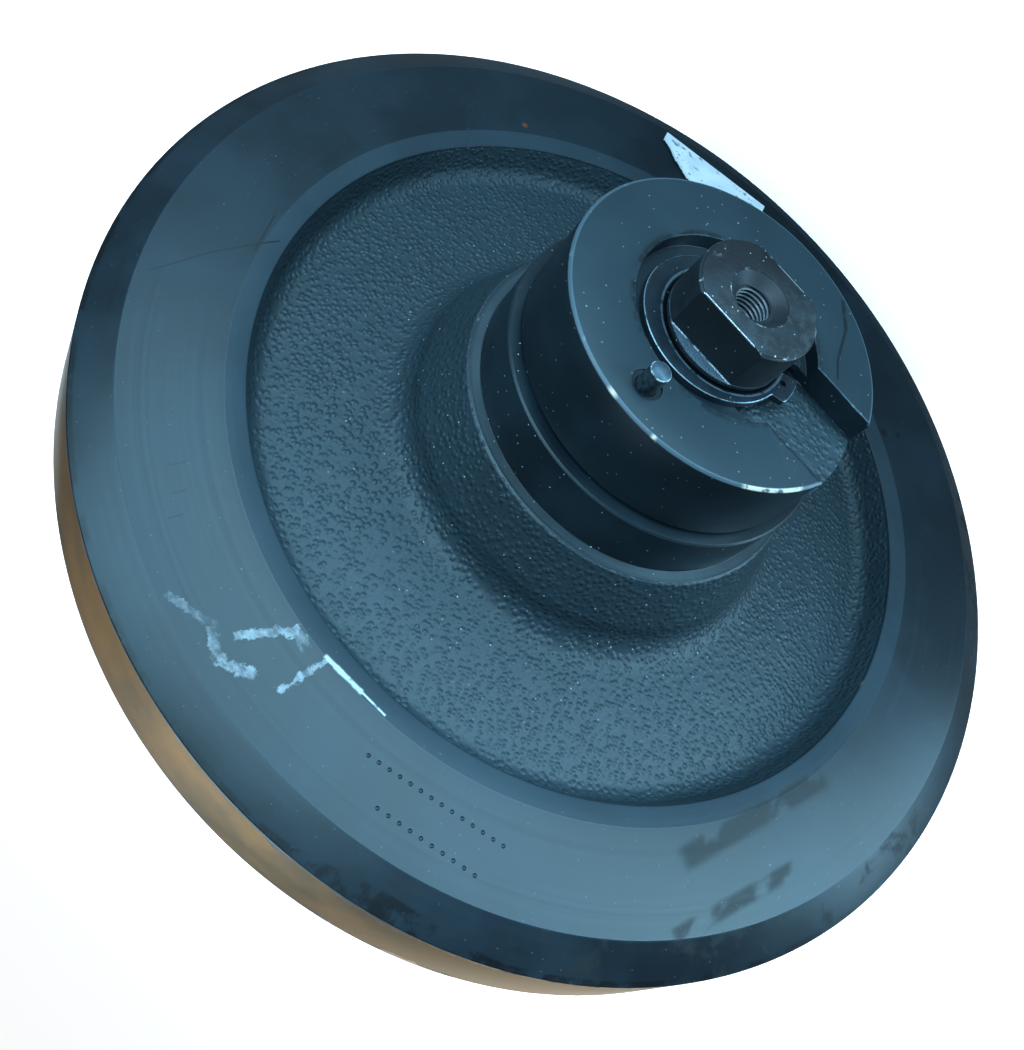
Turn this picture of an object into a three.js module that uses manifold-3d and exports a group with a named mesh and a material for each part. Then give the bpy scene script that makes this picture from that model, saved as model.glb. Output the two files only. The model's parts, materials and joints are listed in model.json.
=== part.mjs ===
// Front idler wheel of a small tracked machine, taken apart as a fitter would take it apart:
// a forged wheel running on two flanged bushings, a shaft with two flats at each end, two end
// collars held by snap rings, and a pair of metal face seals with rubber rings at each side.
//
// Millimetres, +Z up. The origin is the middle of the wheel and the wheel turns about +Y.
// Each side is drawn once with +Y pointing outwards, and the right side is that side turned
// half a turn about X, so the collar slots of both sides open towards -X.

import * as THREE from 'three';
import { mergeVertices } from 'three/addons/utils/BufferGeometryUtils.js';
import Module from 'manifold-3d';

const wasm = await Module();
wasm.setup();

// ---------------------------------------------------------------- driving dimensions

// Running gap that is left between any two pieces that touch or slide.
const GAP = 0.3;

// How far a cutting solid reaches past the surface that it opens.
const CUT_OVER = 5;

// Wheel.
const TREAD_RADIUS = 210;
const TREAD_WIDTH = 36;
const RIM_WIDTH = 50.4;
const OUTER_CHAMFER_RADIAL = 14;
const FLAT_RING_WIDTH = 37;
const INNER_CHAMFER_RADIAL = 8;
const INNER_CHAMFER_DROP = 1.2;
const RECESS_WALL_DRAFT = 4.5;
const WEB_HALF_AT_RIM = 7.5;
const WEB_HALF_AT_HUB = 11.5;
const RECESS_FILLET = 7;
const NECK_FILLET = 13;
const NECK_SPREAD = 10.6;
const NECK_FOOT_HEIGHT = 26;

// Hub.
const HUB_HALF_LENGTH = 75.4;
const HUB_WALL = 13;
const SHOULDER_HALF = 50.2;
const SHOULDER_WIDTH = 4.4;
const OIL_POCKET_DEPTH = 2.7;
const OIL_SPACE_HALF = 18;
const HUB_EDGE_CHAMFER = 0.8;
const NECK_TOP_CHAMFER = 1;

// Shaft.
const SHAFT_PROUD_OF_COLLAR = 18.7;
const SHAFT_END_RADIUS = 25;
const SHAFT_SHOULDER_STEP = 5;
const SHAFT_END_CHAMFER = 1;
const SHAFT_SHOULDER_CHAMFER = 1;
const FLAT_DEPTH = 5;
const LAND_ABOVE_SNAP_RING = 2;
const BOLT_THREAD_RADIUS = 8;
const BOLT_MINOR_RADIUS = 6.9;
const BOLT_HOLE_DEPTH = 38;
const COUNTERSINK_RADIUS = 12.2;
const COUNTERSINK_DEPTH = 4.6;
const DRILL_POINT_SLOPE = 0.6;

// Bushings.
const BUSHING_WALL = 4.7;
const BUSHING_FLANGE_WIDTH = 9;
const BUSHING_FLANGE_THICKNESS = 5.3;
const FLANGE_SEAT_DEPTH = 6.9;

// Face seals: one metal ring and one rubber ring in the hub, the same pair in the collar.
const SEAL_SPACE = 12.7;
const SEAL_CHAMBER_MOUTH = 1.5;
const SEAL_RING_TO_CHAMBER = 3;
const SEAL_RING_STEP = 8.5;
const SEAL_RING_WALL = 5;
const SEAL_RING_LENGTH = 13.2;
const SEAL_LIP_LENGTH = 2.2;
const SEAL_TAIL_LENGTH = 5;
const TORIC_SECTION_RADIUS = 4;
const SEAL_MIDDLE_SHIFT = 1.15;

// Collars.
const COLLAR_WALL = 8.7;
const COLLAR_TO_HUB = 2.3;
const COLLAR_THICKNESS = 37.2;
const COLLAR_NOSE_TO_SEAT = 5.8;
const COLLAR_RECESS_ROOM = 14.3;
const COLLAR_RECESS_DEPTH = 7;
const COLLAR_EDGE_CHAMFER = 0.8;
const SLOT_OVER_FLATS = 0.4;
const SLOT_DEPTH = 13;
const O_RING_SECTION_RADIUS = 1.5;
const O_RING_FROM_COLLAR_FACE = 16.8;

// Snap rings.
const SNAP_RING_THICKNESS = 3;
const SNAP_RING_WIDTH = 6.2;
const SNAP_RING_OFFSET = 2.9;
const SNAP_GROOVE_DEPTH = 1.5;
const SNAP_LUG_WIDTH = 9;
const SNAP_LUG_HALF_ANGLE = 34;
const SNAP_GAP_WIDTH = 7;
const SNAP_HOLE_RADIUS = 1.4;
const SNAP_HOLE_ANGLE = 16.6;
const SNAP_HOLE_SIDES = 12;
const SNAP_LUG_DIRECTION = 25;

// Locating pins.
const PIN_RADIUS = 4;
const PIN_PROUD = 9;
const PIN_CROWN = 1.2;
const PIN_FOOT_CHAMFER = 0.7;
const PIN_BURIED = 17;
const PIN_FROM_RECESS = 11.7;
const PIN_ASIDE = 4.2;
const PIN_SINK_RADIUS = 6;
const PIN_SINK_DEPTH = 0.8;

// Oil filler in the left side of the hub.
const FILLER_SLOPE = 30;
const FILLER_BORE_RADIUS = 6.3;
const FILLER_BORE_INWARD = 6;
const FILLER_START_HALF = 4;
const FILLER_SEAT_SINK = 7.27;
const FILLER_SEAT_RADIUS = 12;
const FILLER_SEAT_REACH = 40;
const FILLER_HEAD_RADIUS = 9.5;
const FILLER_HEAD_HEIGHT = 6;
const FILLER_THREAD_LENGTH = 14;
const FILLER_PLUG_CHAMFER = 1;
const FILLER_WASHER_THICKNESS = 1.5;
const FILLER_SOCKET_ACROSS = 8;
const FILLER_SOCKET_DEPTH = 4;
const FILLER_TURN = 35;

// Blank label on the right face of the rim.
const LABEL_LENGTH = 64;
const LABEL_WIDTH = 24;
const LABEL_THICKNESS = 0.4;
const LABEL_TORN = 14;
const LABEL_TURN = 16.4;
const LABEL_ALONG = 61;

// Round pieces are drawn with this many sides.
const WHEEL_SIDES = 60;
const COLLAR_SIDES = 36;
const SHAFT_SIDES = 36;
const INNER_SIDES = 30;
const SMALL_SIDES = 24;

// ---------------------------------------------------------------- sizes that follow

const deg = THREE.MathUtils.degToRad;

const treadHalf = TREAD_WIDTH / 2;
const rimHalf = RIM_WIDTH / 2;
const flatRingOuter = TREAD_RADIUS - OUTER_CHAMFER_RADIAL;
const flatRingInner = flatRingOuter - FLAT_RING_WIDTH;
const recessRadius = flatRingInner - INNER_CHAMFER_RADIAL;
const recessEdgeHalf = rimHalf - INNER_CHAMFER_DROP;
const recessFloorRadius = recessRadius - RECESS_WALL_DRAFT;

const shaftMiddleRadius = SHAFT_END_RADIUS + SHAFT_SHOULDER_STEP;
const flatHalf = SHAFT_END_RADIUS - FLAT_DEPTH;

const bushingInner = shaftMiddleRadius + GAP;
const bushingOuter = bushingInner + BUSHING_WALL;
const flangeRadius = bushingOuter + BUSHING_FLANGE_WIDTH;
const hubBoreRadius = bushingOuter + GAP;
const oilSpaceRadius = hubBoreRadius + OIL_POCKET_DEPTH;
const flangeSeatRadius = flangeRadius + GAP;

const sealChamberRadius = flangeSeatRadius + SEAL_SPACE;
const sealOuterRadius = sealChamberRadius - SEAL_RING_TO_CHAMBER;
const sealNeckRadius = sealOuterRadius - SEAL_RING_STEP;
const sealInnerRadius = sealNeckRadius - SEAL_RING_WALL;
const sealMiddleHalf = HUB_HALF_LENGTH + SEAL_MIDDLE_SHIFT;
const sealTailHalf = sealMiddleHalf - GAP / 2 - SEAL_RING_LENGTH;
const hubChamberHalf = sealTailHalf - GAP;
const collarChamberHalf = 2 * sealMiddleHalf - hubChamberHalf;

const hubBoreHalf = hubChamberHalf - FLANGE_SEAT_DEPTH;
const flangeInnerHalf = hubBoreHalf + GAP;
const flangeOuterHalf = flangeInnerHalf + BUSHING_FLANGE_THICKNESS;

const hubRadius = sealChamberRadius + HUB_WALL;
const shoulderRadius = hubRadius + SHOULDER_WIDTH;
const neckFootRadius = shoulderRadius + NECK_SPREAD;

const collarRadius = sealChamberRadius + COLLAR_WALL;
const collarNoseRadius = flangeSeatRadius - COLLAR_NOSE_TO_SEAT;
const collarRecessRadius = SHAFT_END_RADIUS + COLLAR_RECESS_ROOM;
const collarBoreRadius = SHAFT_END_RADIUS + GAP;
const collarInnerHalf = HUB_HALF_LENGTH + COLLAR_TO_HUB;
const collarFaceHalf = collarInnerHalf + COLLAR_THICKNESS;
const collarNoseHalf = flangeOuterHalf + GAP;
const recessFloorHalf = collarFaceHalf - COLLAR_RECESS_DEPTH;
const slotHalf = flatHalf + SLOT_OVER_FLATS / 2;
const pinAcross = collarRecessRadius + PIN_FROM_RECESS;

const snapInner = SHAFT_END_RADIUS - SNAP_GROOVE_DEPTH + GAP;
const snapOuter = SHAFT_END_RADIUS + SNAP_RING_WIDTH;
const snapLugRadius = SHAFT_END_RADIUS + SNAP_LUG_WIDTH;
const snapBottomHalf = recessFloorHalf + GAP;
const snapTopHalf = snapBottomHalf + SNAP_RING_THICKNESS;

const shaftShoulderHalf = collarNoseHalf - GAP;
const shaftHalfLength = collarFaceHalf + SHAFT_PROUD_OF_COLLAR;
const flatsFrom = snapTopHalf + GAP + LAND_ABOVE_SNAP_RING;

const fillerSeat = (neckFootRadius - oilSpaceRadius) / Math.cos(deg(FILLER_SLOPE)) - FILLER_SEAT_SINK;

// ---------------------------------------------------------------- solids

/** A closed solid for joining and cutting, from a three.js geometry. */
function solid(geometry) {
  const bare = geometry.clone();
  bare.deleteAttribute('normal');
  bare.deleteAttribute('uv');
  const merged = mergeVertices(bare, 1e-4);
  const vertProperties = new Float32Array(merged.attributes.position.array);
  const triVerts = new Uint32Array(merged.index.array);
  if (signedVolume(vertProperties, triVerts) < 0) {
    for (let i = 0; i < triVerts.length; i += 3) {
      [triVerts[i + 1], triVerts[i + 2]] = [triVerts[i + 2], triVerts[i + 1]];
    }
  }
  return new wasm.Manifold(new wasm.Mesh({ numProp: 3, vertProperties, triVerts }));
}

/** Six times the volume that the triangles enclose, negative when they face inwards. */
function signedVolume(positions, triangles) {
  const a = new THREE.Vector3();
  const b = new THREE.Vector3();
  const c = new THREE.Vector3();
  let sum = 0;
  for (let i = 0; i < triangles.length; i += 3) {
    a.fromArray(positions, 3 * triangles[i]);
    b.fromArray(positions, 3 * triangles[i + 1]);
    c.fromArray(positions, 3 * triangles[i + 2]);
    sum += a.dot(b.cross(c));
  }
  return sum;
}

/** The three.js geometry of a finished solid. */
function geometryOf(manifold) {
  const mesh = manifold.getMesh();
  const geometry = new THREE.BufferGeometry();
  geometry.setAttribute('position', new THREE.BufferAttribute(new Float32Array(mesh.vertProperties), 3));
  geometry.setIndex(new THREE.BufferAttribute(new Uint32Array(mesh.triVerts), 1));
  geometry.computeVertexNormals();
  return geometry;
}

/** A solid turned about the Y axis. The outline is a list of [radius, height] pairs. */
function turned(outline, sides, closed = true) {
  const points = outline.map(([radius, height]) => new THREE.Vector2(radius, height));
  if (closed) {
    points.push(points[0].clone());
  }
  return solid(new THREE.LatheGeometry(points, sides));
}

/** A plain round bar along Y from one height to another. */
function bar(radius, from, to, sides) {
  return turned([[0, from], [radius, from], [radius, to], [0, to]], sides, false);
}

/** A box from its lowest and highest corners. */
function block(low, high) {
  const size = high.map((value, axis) => value - low[axis]);
  const middle = high.map((value, axis) => (value + low[axis]) / 2);
  return solid(new THREE.BoxGeometry(...size).translate(...middle));
}

/** Points of the arc that rounds the corner between two straight stretches. */
function rounded(before, corner, after, radius, steps) {
  const start = new THREE.Vector2(...before).sub(new THREE.Vector2(...corner)).normalize();
  const end = new THREE.Vector2(...after).sub(new THREE.Vector2(...corner)).normalize();
  const half = Math.acos(THREE.MathUtils.clamp(start.dot(end), -1, 1)) / 2;
  const reach = radius / Math.tan(half);
  const toCentre = start.clone().add(end).normalize().multiplyScalar(radius / Math.sin(half));
  const centre = new THREE.Vector2(...corner).add(toCentre);
  const first = new THREE.Vector2(...corner).addScaledVector(start, reach).sub(centre);
  const last = new THREE.Vector2(...corner).addScaledVector(end, reach).sub(centre);
  const sweep = Math.atan2(first.cross(last), first.dot(last));
  const points = [];
  for (let i = 0; i <= steps; i += 1) {
    const turn = (sweep * i) / steps;
    const x = first.x * Math.cos(turn) - first.y * Math.sin(turn);
    const y = first.x * Math.sin(turn) + first.y * Math.cos(turn);
    points.push([centre.x + x, centre.y + y]);
  }
  return points;
}

/** A solid moved by a three.js matrix. */
function moved(manifold, matrix) {
  return solid(geometryOf(manifold).applyMatrix4(matrix));
}

// ---------------------------------------------------------------- wheel

/** Half of the wheel's section, from the oil space in the middle out to the tread. */
function wheelHalfOutline() {
  const neckTop = [shoulderRadius + NECK_TOP_CHAMFER, SHOULDER_HALF - NECK_TOP_CHAMFER];
  const neckFoot = [neckFootRadius, NECK_FOOT_HEIGHT];
  const webAtHub = [neckFootRadius + 2, WEB_HALF_AT_HUB];
  const webAtRim = [recessFloorRadius, WEB_HALF_AT_RIM];
  const recessEdge = [recessRadius, recessEdgeHalf];
  return [
    [oilSpaceRadius, OIL_SPACE_HALF],
    [hubBoreRadius, OIL_SPACE_HALF],
    [hubBoreRadius, hubBoreHalf],
    [flangeSeatRadius, hubBoreHalf],
    [flangeSeatRadius, hubChamberHalf],
    [sealChamberRadius, hubChamberHalf],
    [sealChamberRadius, HUB_HALF_LENGTH - SEAL_CHAMBER_MOUTH],
    [sealChamberRadius + SEAL_CHAMBER_MOUTH, HUB_HALF_LENGTH],
    [hubRadius - HUB_EDGE_CHAMFER, HUB_HALF_LENGTH],
    [hubRadius, HUB_HALF_LENGTH - HUB_EDGE_CHAMFER],
    [hubRadius, SHOULDER_HALF],
    [shoulderRadius, SHOULDER_HALF],
    neckTop,
    ...rounded(neckTop, neckFoot, webAtHub, NECK_FILLET, 1),
    ...rounded(neckFoot, webAtHub, webAtRim, NECK_FILLET, 3),
    ...rounded(webAtHub, webAtRim, recessEdge, RECESS_FILLET, 3),
    recessEdge,
    [flatRingInner, rimHalf],
    [flatRingOuter, rimHalf],
    [TREAD_RADIUS, treadHalf],
  ];
}

/** The frame of the filler bore: its Y axis runs out of the hub along the bore. */
function fillerMatrix() {
  const lean = new THREE.Matrix4().makeRotationZ(deg(FILLER_SLOPE - 90));
  const start = new THREE.Matrix4().makeTranslation(oilSpaceRadius, FILLER_START_HALF, 0);
  const turn = new THREE.Matrix4().makeRotationY(deg(FILLER_TURN));
  return turn.multiply(start).multiply(lean);
}

/** The forged wheel with its hub, web, rim, bores and filler bore. */
function idlerWheel() {
  const half = wheelHalfOutline();
  const mirrored = half.map(([radius, height]) => [radius, -height]).reverse();
  const body = turned([...half, ...mirrored], WHEEL_SIDES);
  const bore = bar(FILLER_BORE_RADIUS, -FILLER_BORE_INWARD, fillerSeat + 1, SMALL_SIDES);
  const seat = bar(FILLER_SEAT_RADIUS, fillerSeat, fillerSeat + FILLER_SEAT_REACH, SMALL_SIDES);
  return body.subtract(moved(bore.add(seat), fillerMatrix()));
}

/** The filler plug with its hexagon socket, drawn along the filler bore. */
function fillerPlug() {
  const headFoot = fillerSeat + 2 * GAP + FILLER_WASHER_THICKNESS;
  const headTop = headFoot + FILLER_HEAD_HEIGHT;
  const thread = FILLER_BORE_RADIUS - GAP;
  const outline = [
    [0, headFoot - FILLER_THREAD_LENGTH],
    [thread - FILLER_PLUG_CHAMFER, headFoot - FILLER_THREAD_LENGTH],
    [thread, headFoot - FILLER_THREAD_LENGTH + FILLER_PLUG_CHAMFER],
    [thread, headFoot],
    [FILLER_HEAD_RADIUS, headFoot],
    [FILLER_HEAD_RADIUS, headTop - FILLER_PLUG_CHAMFER],
    [FILLER_HEAD_RADIUS - FILLER_PLUG_CHAMFER, headTop],
    [0, headTop],
  ];
  const socketRadius = FILLER_SOCKET_ACROSS / Math.sqrt(3);
  const hexagon = 6;
  const socket = bar(socketRadius, headTop - FILLER_SOCKET_DEPTH, headTop + CUT_OVER, hexagon);
  return turned(outline, SMALL_SIDES, false).subtract(socket);
}

/** The soft sealing washer under the head of the filler plug. */
function fillerWasher() {
  const foot = fillerSeat + GAP;
  const inner = FILLER_BORE_RADIUS;
  const outer = FILLER_HEAD_RADIUS + 1;
  const top = foot + FILLER_WASHER_THICKNESS;
  return turned([[inner, foot], [outer, foot], [outer, top], [inner, top]], SMALL_SIDES);
}

/** The blank label, a thin sheet with one torn corner, lying on the flat of the rim. */
function blankLabel() {
  const outline = new THREE.Shape([
    new THREE.Vector2(-LABEL_LENGTH / 2, -LABEL_WIDTH / 2),
    new THREE.Vector2(LABEL_LENGTH / 2, -LABEL_WIDTH / 2),
    new THREE.Vector2(LABEL_LENGTH / 2 - LABEL_TORN * 0.4, LABEL_WIDTH / 2 - LABEL_TORN),
    new THREE.Vector2(LABEL_LENGTH / 2 - LABEL_TORN, LABEL_WIDTH / 2 - LABEL_TORN * 0.5),
    new THREE.Vector2(LABEL_LENGTH / 2 - LABEL_TORN * 1.5, LABEL_WIDTH / 2),
    new THREE.Vector2(-LABEL_LENGTH / 2, LABEL_WIDTH / 2),
  ]);
  const sheet = new THREE.ExtrudeGeometry(outline, { depth: LABEL_THICKNESS, bevelEnabled: false });
  const middleRadius = (flatRingOuter + flatRingInner) / 2;
  const across = Math.sqrt(middleRadius ** 2 - LABEL_ALONG ** 2);
  sheet.rotateX(-Math.PI / 2);
  sheet.rotateY(deg(LABEL_TURN));
  sheet.translate(LABEL_ALONG, rimHalf + GAP, across);
  return solid(sheet);
}

// ---------------------------------------------------------------- bushings and seals

/** A flanged plain bushing, pressed in the hub bore with its flange outwards. */
function bushing() {
  return turned([
    [bushingInner, OIL_SPACE_HALF],
    [bushingOuter, OIL_SPACE_HALF],
    [bushingOuter, flangeInnerHalf],
    [flangeRadius, flangeInnerHalf],
    [flangeRadius, flangeOuterHalf],
    [bushingInner, flangeOuterHalf],
  ], INNER_SIDES);
}

/** Heights measured from the sealing plane: side -1 lies in the hub and side 1 in the collar. */
function fromSealPlane(side, distance) {
  return sealMiddleHalf + side * (GAP / 2 + distance);
}

/** The metal ring of a face seal, with its flat lip at the sealing plane. */
function sealRing(side) {
  const shoulder = SEAL_RING_LENGTH - SEAL_TAIL_LENGTH;
  return turned([
    [sealInnerRadius, fromSealPlane(side, 0)],
    [sealOuterRadius, fromSealPlane(side, 0)],
    [sealOuterRadius, fromSealPlane(side, SEAL_LIP_LENGTH)],
    [sealNeckRadius, fromSealPlane(side, shoulder)],
    [sealNeckRadius, fromSealPlane(side, SEAL_RING_LENGTH)],
    [sealInnerRadius, fromSealPlane(side, SEAL_RING_LENGTH)],
  ], INNER_SIDES);
}

/** The rubber ring that presses a metal ring forward and turns with its housing. */
function toricRing(side) {
  const shoulder = SEAL_RING_LENGTH - SEAL_TAIL_LENGTH;
  const rise = shoulder - SEAL_LIP_LENGTH;
  const run = sealOuterRadius - sealNeckRadius;
  const slope = Math.hypot(rise, run);
  const centreRadius = sealChamberRadius - GAP - TORIC_SECTION_RADIUS;
  const onSlope = shoulder - (rise * (centreRadius - sealNeckRadius)) / run;
  const clear = ((TORIC_SECTION_RADIUS + GAP) * slope) / run;
  return roundRing(centreRadius, fromSealPlane(side, onSlope + clear), TORIC_SECTION_RADIUS);
}

/** A ring of round section about the Y axis. */
function roundRing(centreRadius, height, sectionRadius) {
  const sectionSides = 6;
  const outline = [];
  for (let i = 0; i < sectionSides; i += 1) {
    const angle = deg((360 * (i + 0.5)) / sectionSides);
    const radius = centreRadius + sectionRadius * Math.cos(angle);
    outline.push([radius, height + sectionRadius * Math.sin(angle)]);
  }
  return turned(outline, INNER_SIDES);
}

/** The rubber ring between the bore of a collar and the shaft. */
function collarORing() {
  const centreRadius = SHAFT_END_RADIUS + GAP + O_RING_SECTION_RADIUS;
  return roundRing(centreRadius, collarFaceHalf - O_RING_FROM_COLLAR_FACE, O_RING_SECTION_RADIUS);
}

// ---------------------------------------------------------------- collars

/** The end collar: seal chamber inside, snap ring recess, radial slot and pin hole outside. */
function collar() {
  const grooveRadius = SHAFT_END_RADIUS + 2 * GAP + 2 * O_RING_SECTION_RADIUS;
  const grooveHalfWidth = O_RING_SECTION_RADIUS + GAP;
  const grooveMiddle = collarFaceHalf - O_RING_FROM_COLLAR_FACE;
  const body = turned([
    [collarBoreRadius, collarNoseHalf],
    [collarNoseRadius, collarNoseHalf],
    [collarNoseRadius, collarChamberHalf],
    [sealChamberRadius, collarChamberHalf],
    [sealChamberRadius, collarInnerHalf + SEAL_CHAMBER_MOUTH],
    [sealChamberRadius + SEAL_CHAMBER_MOUTH, collarInnerHalf],
    [collarRadius, collarInnerHalf],
    [collarRadius, collarFaceHalf - COLLAR_EDGE_CHAMFER],
    [collarRadius - COLLAR_EDGE_CHAMFER, collarFaceHalf],
    [collarRecessRadius, collarFaceHalf],
    [collarRecessRadius, recessFloorHalf],
    [collarBoreRadius, recessFloorHalf],
    [collarBoreRadius, grooveMiddle + grooveHalfWidth],
    [grooveRadius, grooveMiddle + grooveHalfWidth],
    [grooveRadius, grooveMiddle - grooveHalfWidth],
    [collarBoreRadius, grooveMiddle - grooveHalfWidth],
  ], COLLAR_SIDES);
  const slot = block(
    [-collarRadius - CUT_OVER, collarFaceHalf - SLOT_DEPTH, -slotHalf],
    [0, collarFaceHalf + CUT_OVER, slotHalf],
  );
  return body.subtract(slot).subtract(pinHole());
}

/** The blind hole of the locating pin with the shallow sink round its mouth. */
function pinHole() {
  const radius = PIN_RADIUS + GAP;
  const foot = collarFaceHalf - PIN_BURIED - GAP;
  const sinkFoot = collarFaceHalf - PIN_SINK_DEPTH;
  const outline = [
    [0, foot],
    [radius, foot],
    [radius, sinkFoot],
    [PIN_SINK_RADIUS, sinkFoot],
    [PIN_SINK_RADIUS, collarFaceHalf + CUT_OVER],
    [0, collarFaceHalf + CUT_OVER],
  ];
  const place = new THREE.Matrix4().makeTranslation(PIN_ASIDE, 0, -pinAcross);
  return moved(turned(outline, SMALL_SIDES, false), place);
}

/** A locating pin with a crowned end, standing proud of the collar for the machine's bracket. */
function locatingPin() {
  const foot = collarFaceHalf - PIN_BURIED;
  const top = collarFaceHalf + PIN_PROUD;
  const crownRadius = (PIN_RADIUS ** 2 + PIN_CROWN ** 2) / (2 * PIN_CROWN);
  const crownAngle = Math.asin(PIN_RADIUS / crownRadius);
  const outline = [
    [0, foot],
    [PIN_RADIUS - PIN_FOOT_CHAMFER, foot],
    [PIN_RADIUS, foot + PIN_FOOT_CHAMFER],
  ];
  const crownSteps = 3;
  for (let i = 0; i < crownSteps; i += 1) {
    const angle = crownAngle * (1 - i / crownSteps);
    const height = top + PIN_CROWN - crownRadius * (1 - Math.cos(angle));
    outline.push([crownRadius * Math.sin(angle), height]);
  }
  outline.push([0, top + PIN_CROWN]);
  const place = new THREE.Matrix4().makeTranslation(PIN_ASIDE, 0, -pinAcross);
  return moved(turned(outline, SMALL_SIDES, false), place);
}

// ---------------------------------------------------------------- snap rings

/** A pie slice about the Y axis, pointing at the snap ring's lugs. */
function lugSlice(radius, halfAngle, from, to) {
  const outline = new THREE.Shape();
  outline.moveTo(0, 0);
  const steps = 8;
  for (let i = 0; i <= steps; i += 1) {
    const angle = deg(-halfAngle + (2 * halfAngle * i) / steps);
    outline.lineTo(radius * Math.cos(angle), radius * Math.sin(angle));
  }
  const slice = new THREE.ExtrudeGeometry(outline, { depth: to - from, bevelEnabled: false });
  slice.rotateX(-Math.PI / 2).translate(0, from, 0);
  return solid(slice);
}

/** The snap ring: eccentric outside, open between two drilled lugs. */
function snapRing() {
  const below = snapBottomHalf - CUT_OVER;
  const above = snapTopHalf + CUT_OVER;
  const lean = new THREE.Matrix4().makeTranslation(-SNAP_RING_OFFSET, 0, 0);
  const disc = moved(bar(snapOuter, snapBottomHalf, snapTopHalf, COLLAR_SIDES), lean);
  let ring = disc.add(lugSlice(snapLugRadius, SNAP_LUG_HALF_ANGLE, snapBottomHalf, snapTopHalf));
  ring = ring.subtract(bar(snapInner, below, above, SHAFT_SIDES));
  ring = ring.subtract(block(
    [0, below, -SNAP_GAP_WIDTH / 2],
    [snapLugRadius + CUT_OVER, above, SNAP_GAP_WIDTH / 2],
  ));
  const holeRadius = (snapInner + snapLugRadius) / 2;
  for (const turn of [-SNAP_HOLE_ANGLE, SNAP_HOLE_ANGLE]) {
    const x = holeRadius * Math.cos(deg(turn));
    const z = holeRadius * Math.sin(deg(turn));
    const place = new THREE.Matrix4().makeTranslation(x, 0, z);
    ring = ring.subtract(moved(bar(SNAP_HOLE_RADIUS, below, above, SNAP_HOLE_SIDES), place));
  }
  return moved(ring, new THREE.Matrix4().makeRotationY(deg(180 + SNAP_LUG_DIRECTION)));
}

// ---------------------------------------------------------------- shaft

/** Half of the shaft's section, from the middle out to the end face on the axis. */
function shaftHalfOutline() {
  const grooveRadius = SHAFT_END_RADIUS - SNAP_GROOVE_DEPTH;
  return [
    [shaftMiddleRadius, shaftShoulderHalf - SHAFT_SHOULDER_CHAMFER],
    [shaftMiddleRadius - SHAFT_SHOULDER_CHAMFER, shaftShoulderHalf],
    [SHAFT_END_RADIUS, shaftShoulderHalf],
    [SHAFT_END_RADIUS, recessFloorHalf],
    [grooveRadius, recessFloorHalf],
    [grooveRadius, snapTopHalf + GAP],
    [SHAFT_END_RADIUS, snapTopHalf + GAP],
    [SHAFT_END_RADIUS, shaftHalfLength - SHAFT_END_CHAMFER],
    [SHAFT_END_RADIUS - SHAFT_END_CHAMFER, shaftHalfLength],
    [0, shaftHalfLength],
  ];
}

/** The bolt hole in the end of the shaft, with its countersunk mouth and drilled point. */
function boltHole() {
  const foot = shaftHalfLength - BOLT_HOLE_DEPTH;
  const threadTop = shaftHalfLength - COUNTERSINK_DEPTH;
  return turned([
    [0, foot - BOLT_MINOR_RADIUS * DRILL_POINT_SLOPE],
    [BOLT_MINOR_RADIUS, foot],
    [BOLT_MINOR_RADIUS, threadTop - (BOLT_THREAD_RADIUS - BOLT_MINOR_RADIUS)],
    [BOLT_THREAD_RADIUS, threadTop],
    [COUNTERSINK_RADIUS, shaftHalfLength],
    [COUNTERSINK_RADIUS, shaftHalfLength + CUT_OVER],
    [0, shaftHalfLength + CUT_OVER],
  ], SMALL_SIDES, false);
}

/** The shaft with a snap ring groove, two flats and a bolt hole at each end. */
function shaft() {
  const half = shaftHalfOutline();
  const mirrored = half.map(([radius, height]) => [radius, -height]).reverse();
  let body = turned([...mirrored, ...half], SHAFT_SIDES, false);
  const reach = SHAFT_END_RADIUS + CUT_OVER;
  const hole = boltHole();
  for (const end of [1, -1]) {
    const heights = [end * flatsFrom, end * (shaftHalfLength + CUT_OVER)].sort((a, b) => a - b);
    body = body.subtract(block([-reach, heights[0], flatHalf], [reach, heights[1], reach]));
    body = body.subtract(block([-reach, heights[0], -reach], [reach, heights[1], -flatHalf]));
    const turn = new THREE.Matrix4().makeRotationX(end > 0 ? 0 : Math.PI);
    body = body.subtract(moved(hole, turn));
  }
  return body;
}

// ---------------------------------------------------------------- assembly

const FINISHES = {
  blackPaint: { color: 0x2b4552, roughness: 0.45, metalness: 0.1 },
  turnedSteel: { color: 0x5f7078, roughness: 0.4, metalness: 0.8 },
  springSteel: { color: 0x4d646f, roughness: 0.35, metalness: 0.7 },
  bronze: { color: 0xa07a45, roughness: 0.4, metalness: 0.9 },
  sealIron: { color: 0x70757a, roughness: 0.25, metalness: 0.9 },
  rubber: { color: 0x161616, roughness: 0.8, metalness: 0 },
  copper: { color: 0xb0683f, roughness: 0.35, metalness: 0.9 },
  paper: { color: 0xe8ecec, roughness: 0.7, metalness: 0 },
};

/** A named part of the assembly with its own material. */
function part(name, manifold, finish) {
  const mesh = new THREE.Mesh(geometryOf(manifold), new THREE.MeshStandardMaterial(FINISHES[finish]));
  mesh.name = name;
  return mesh;
}

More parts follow.
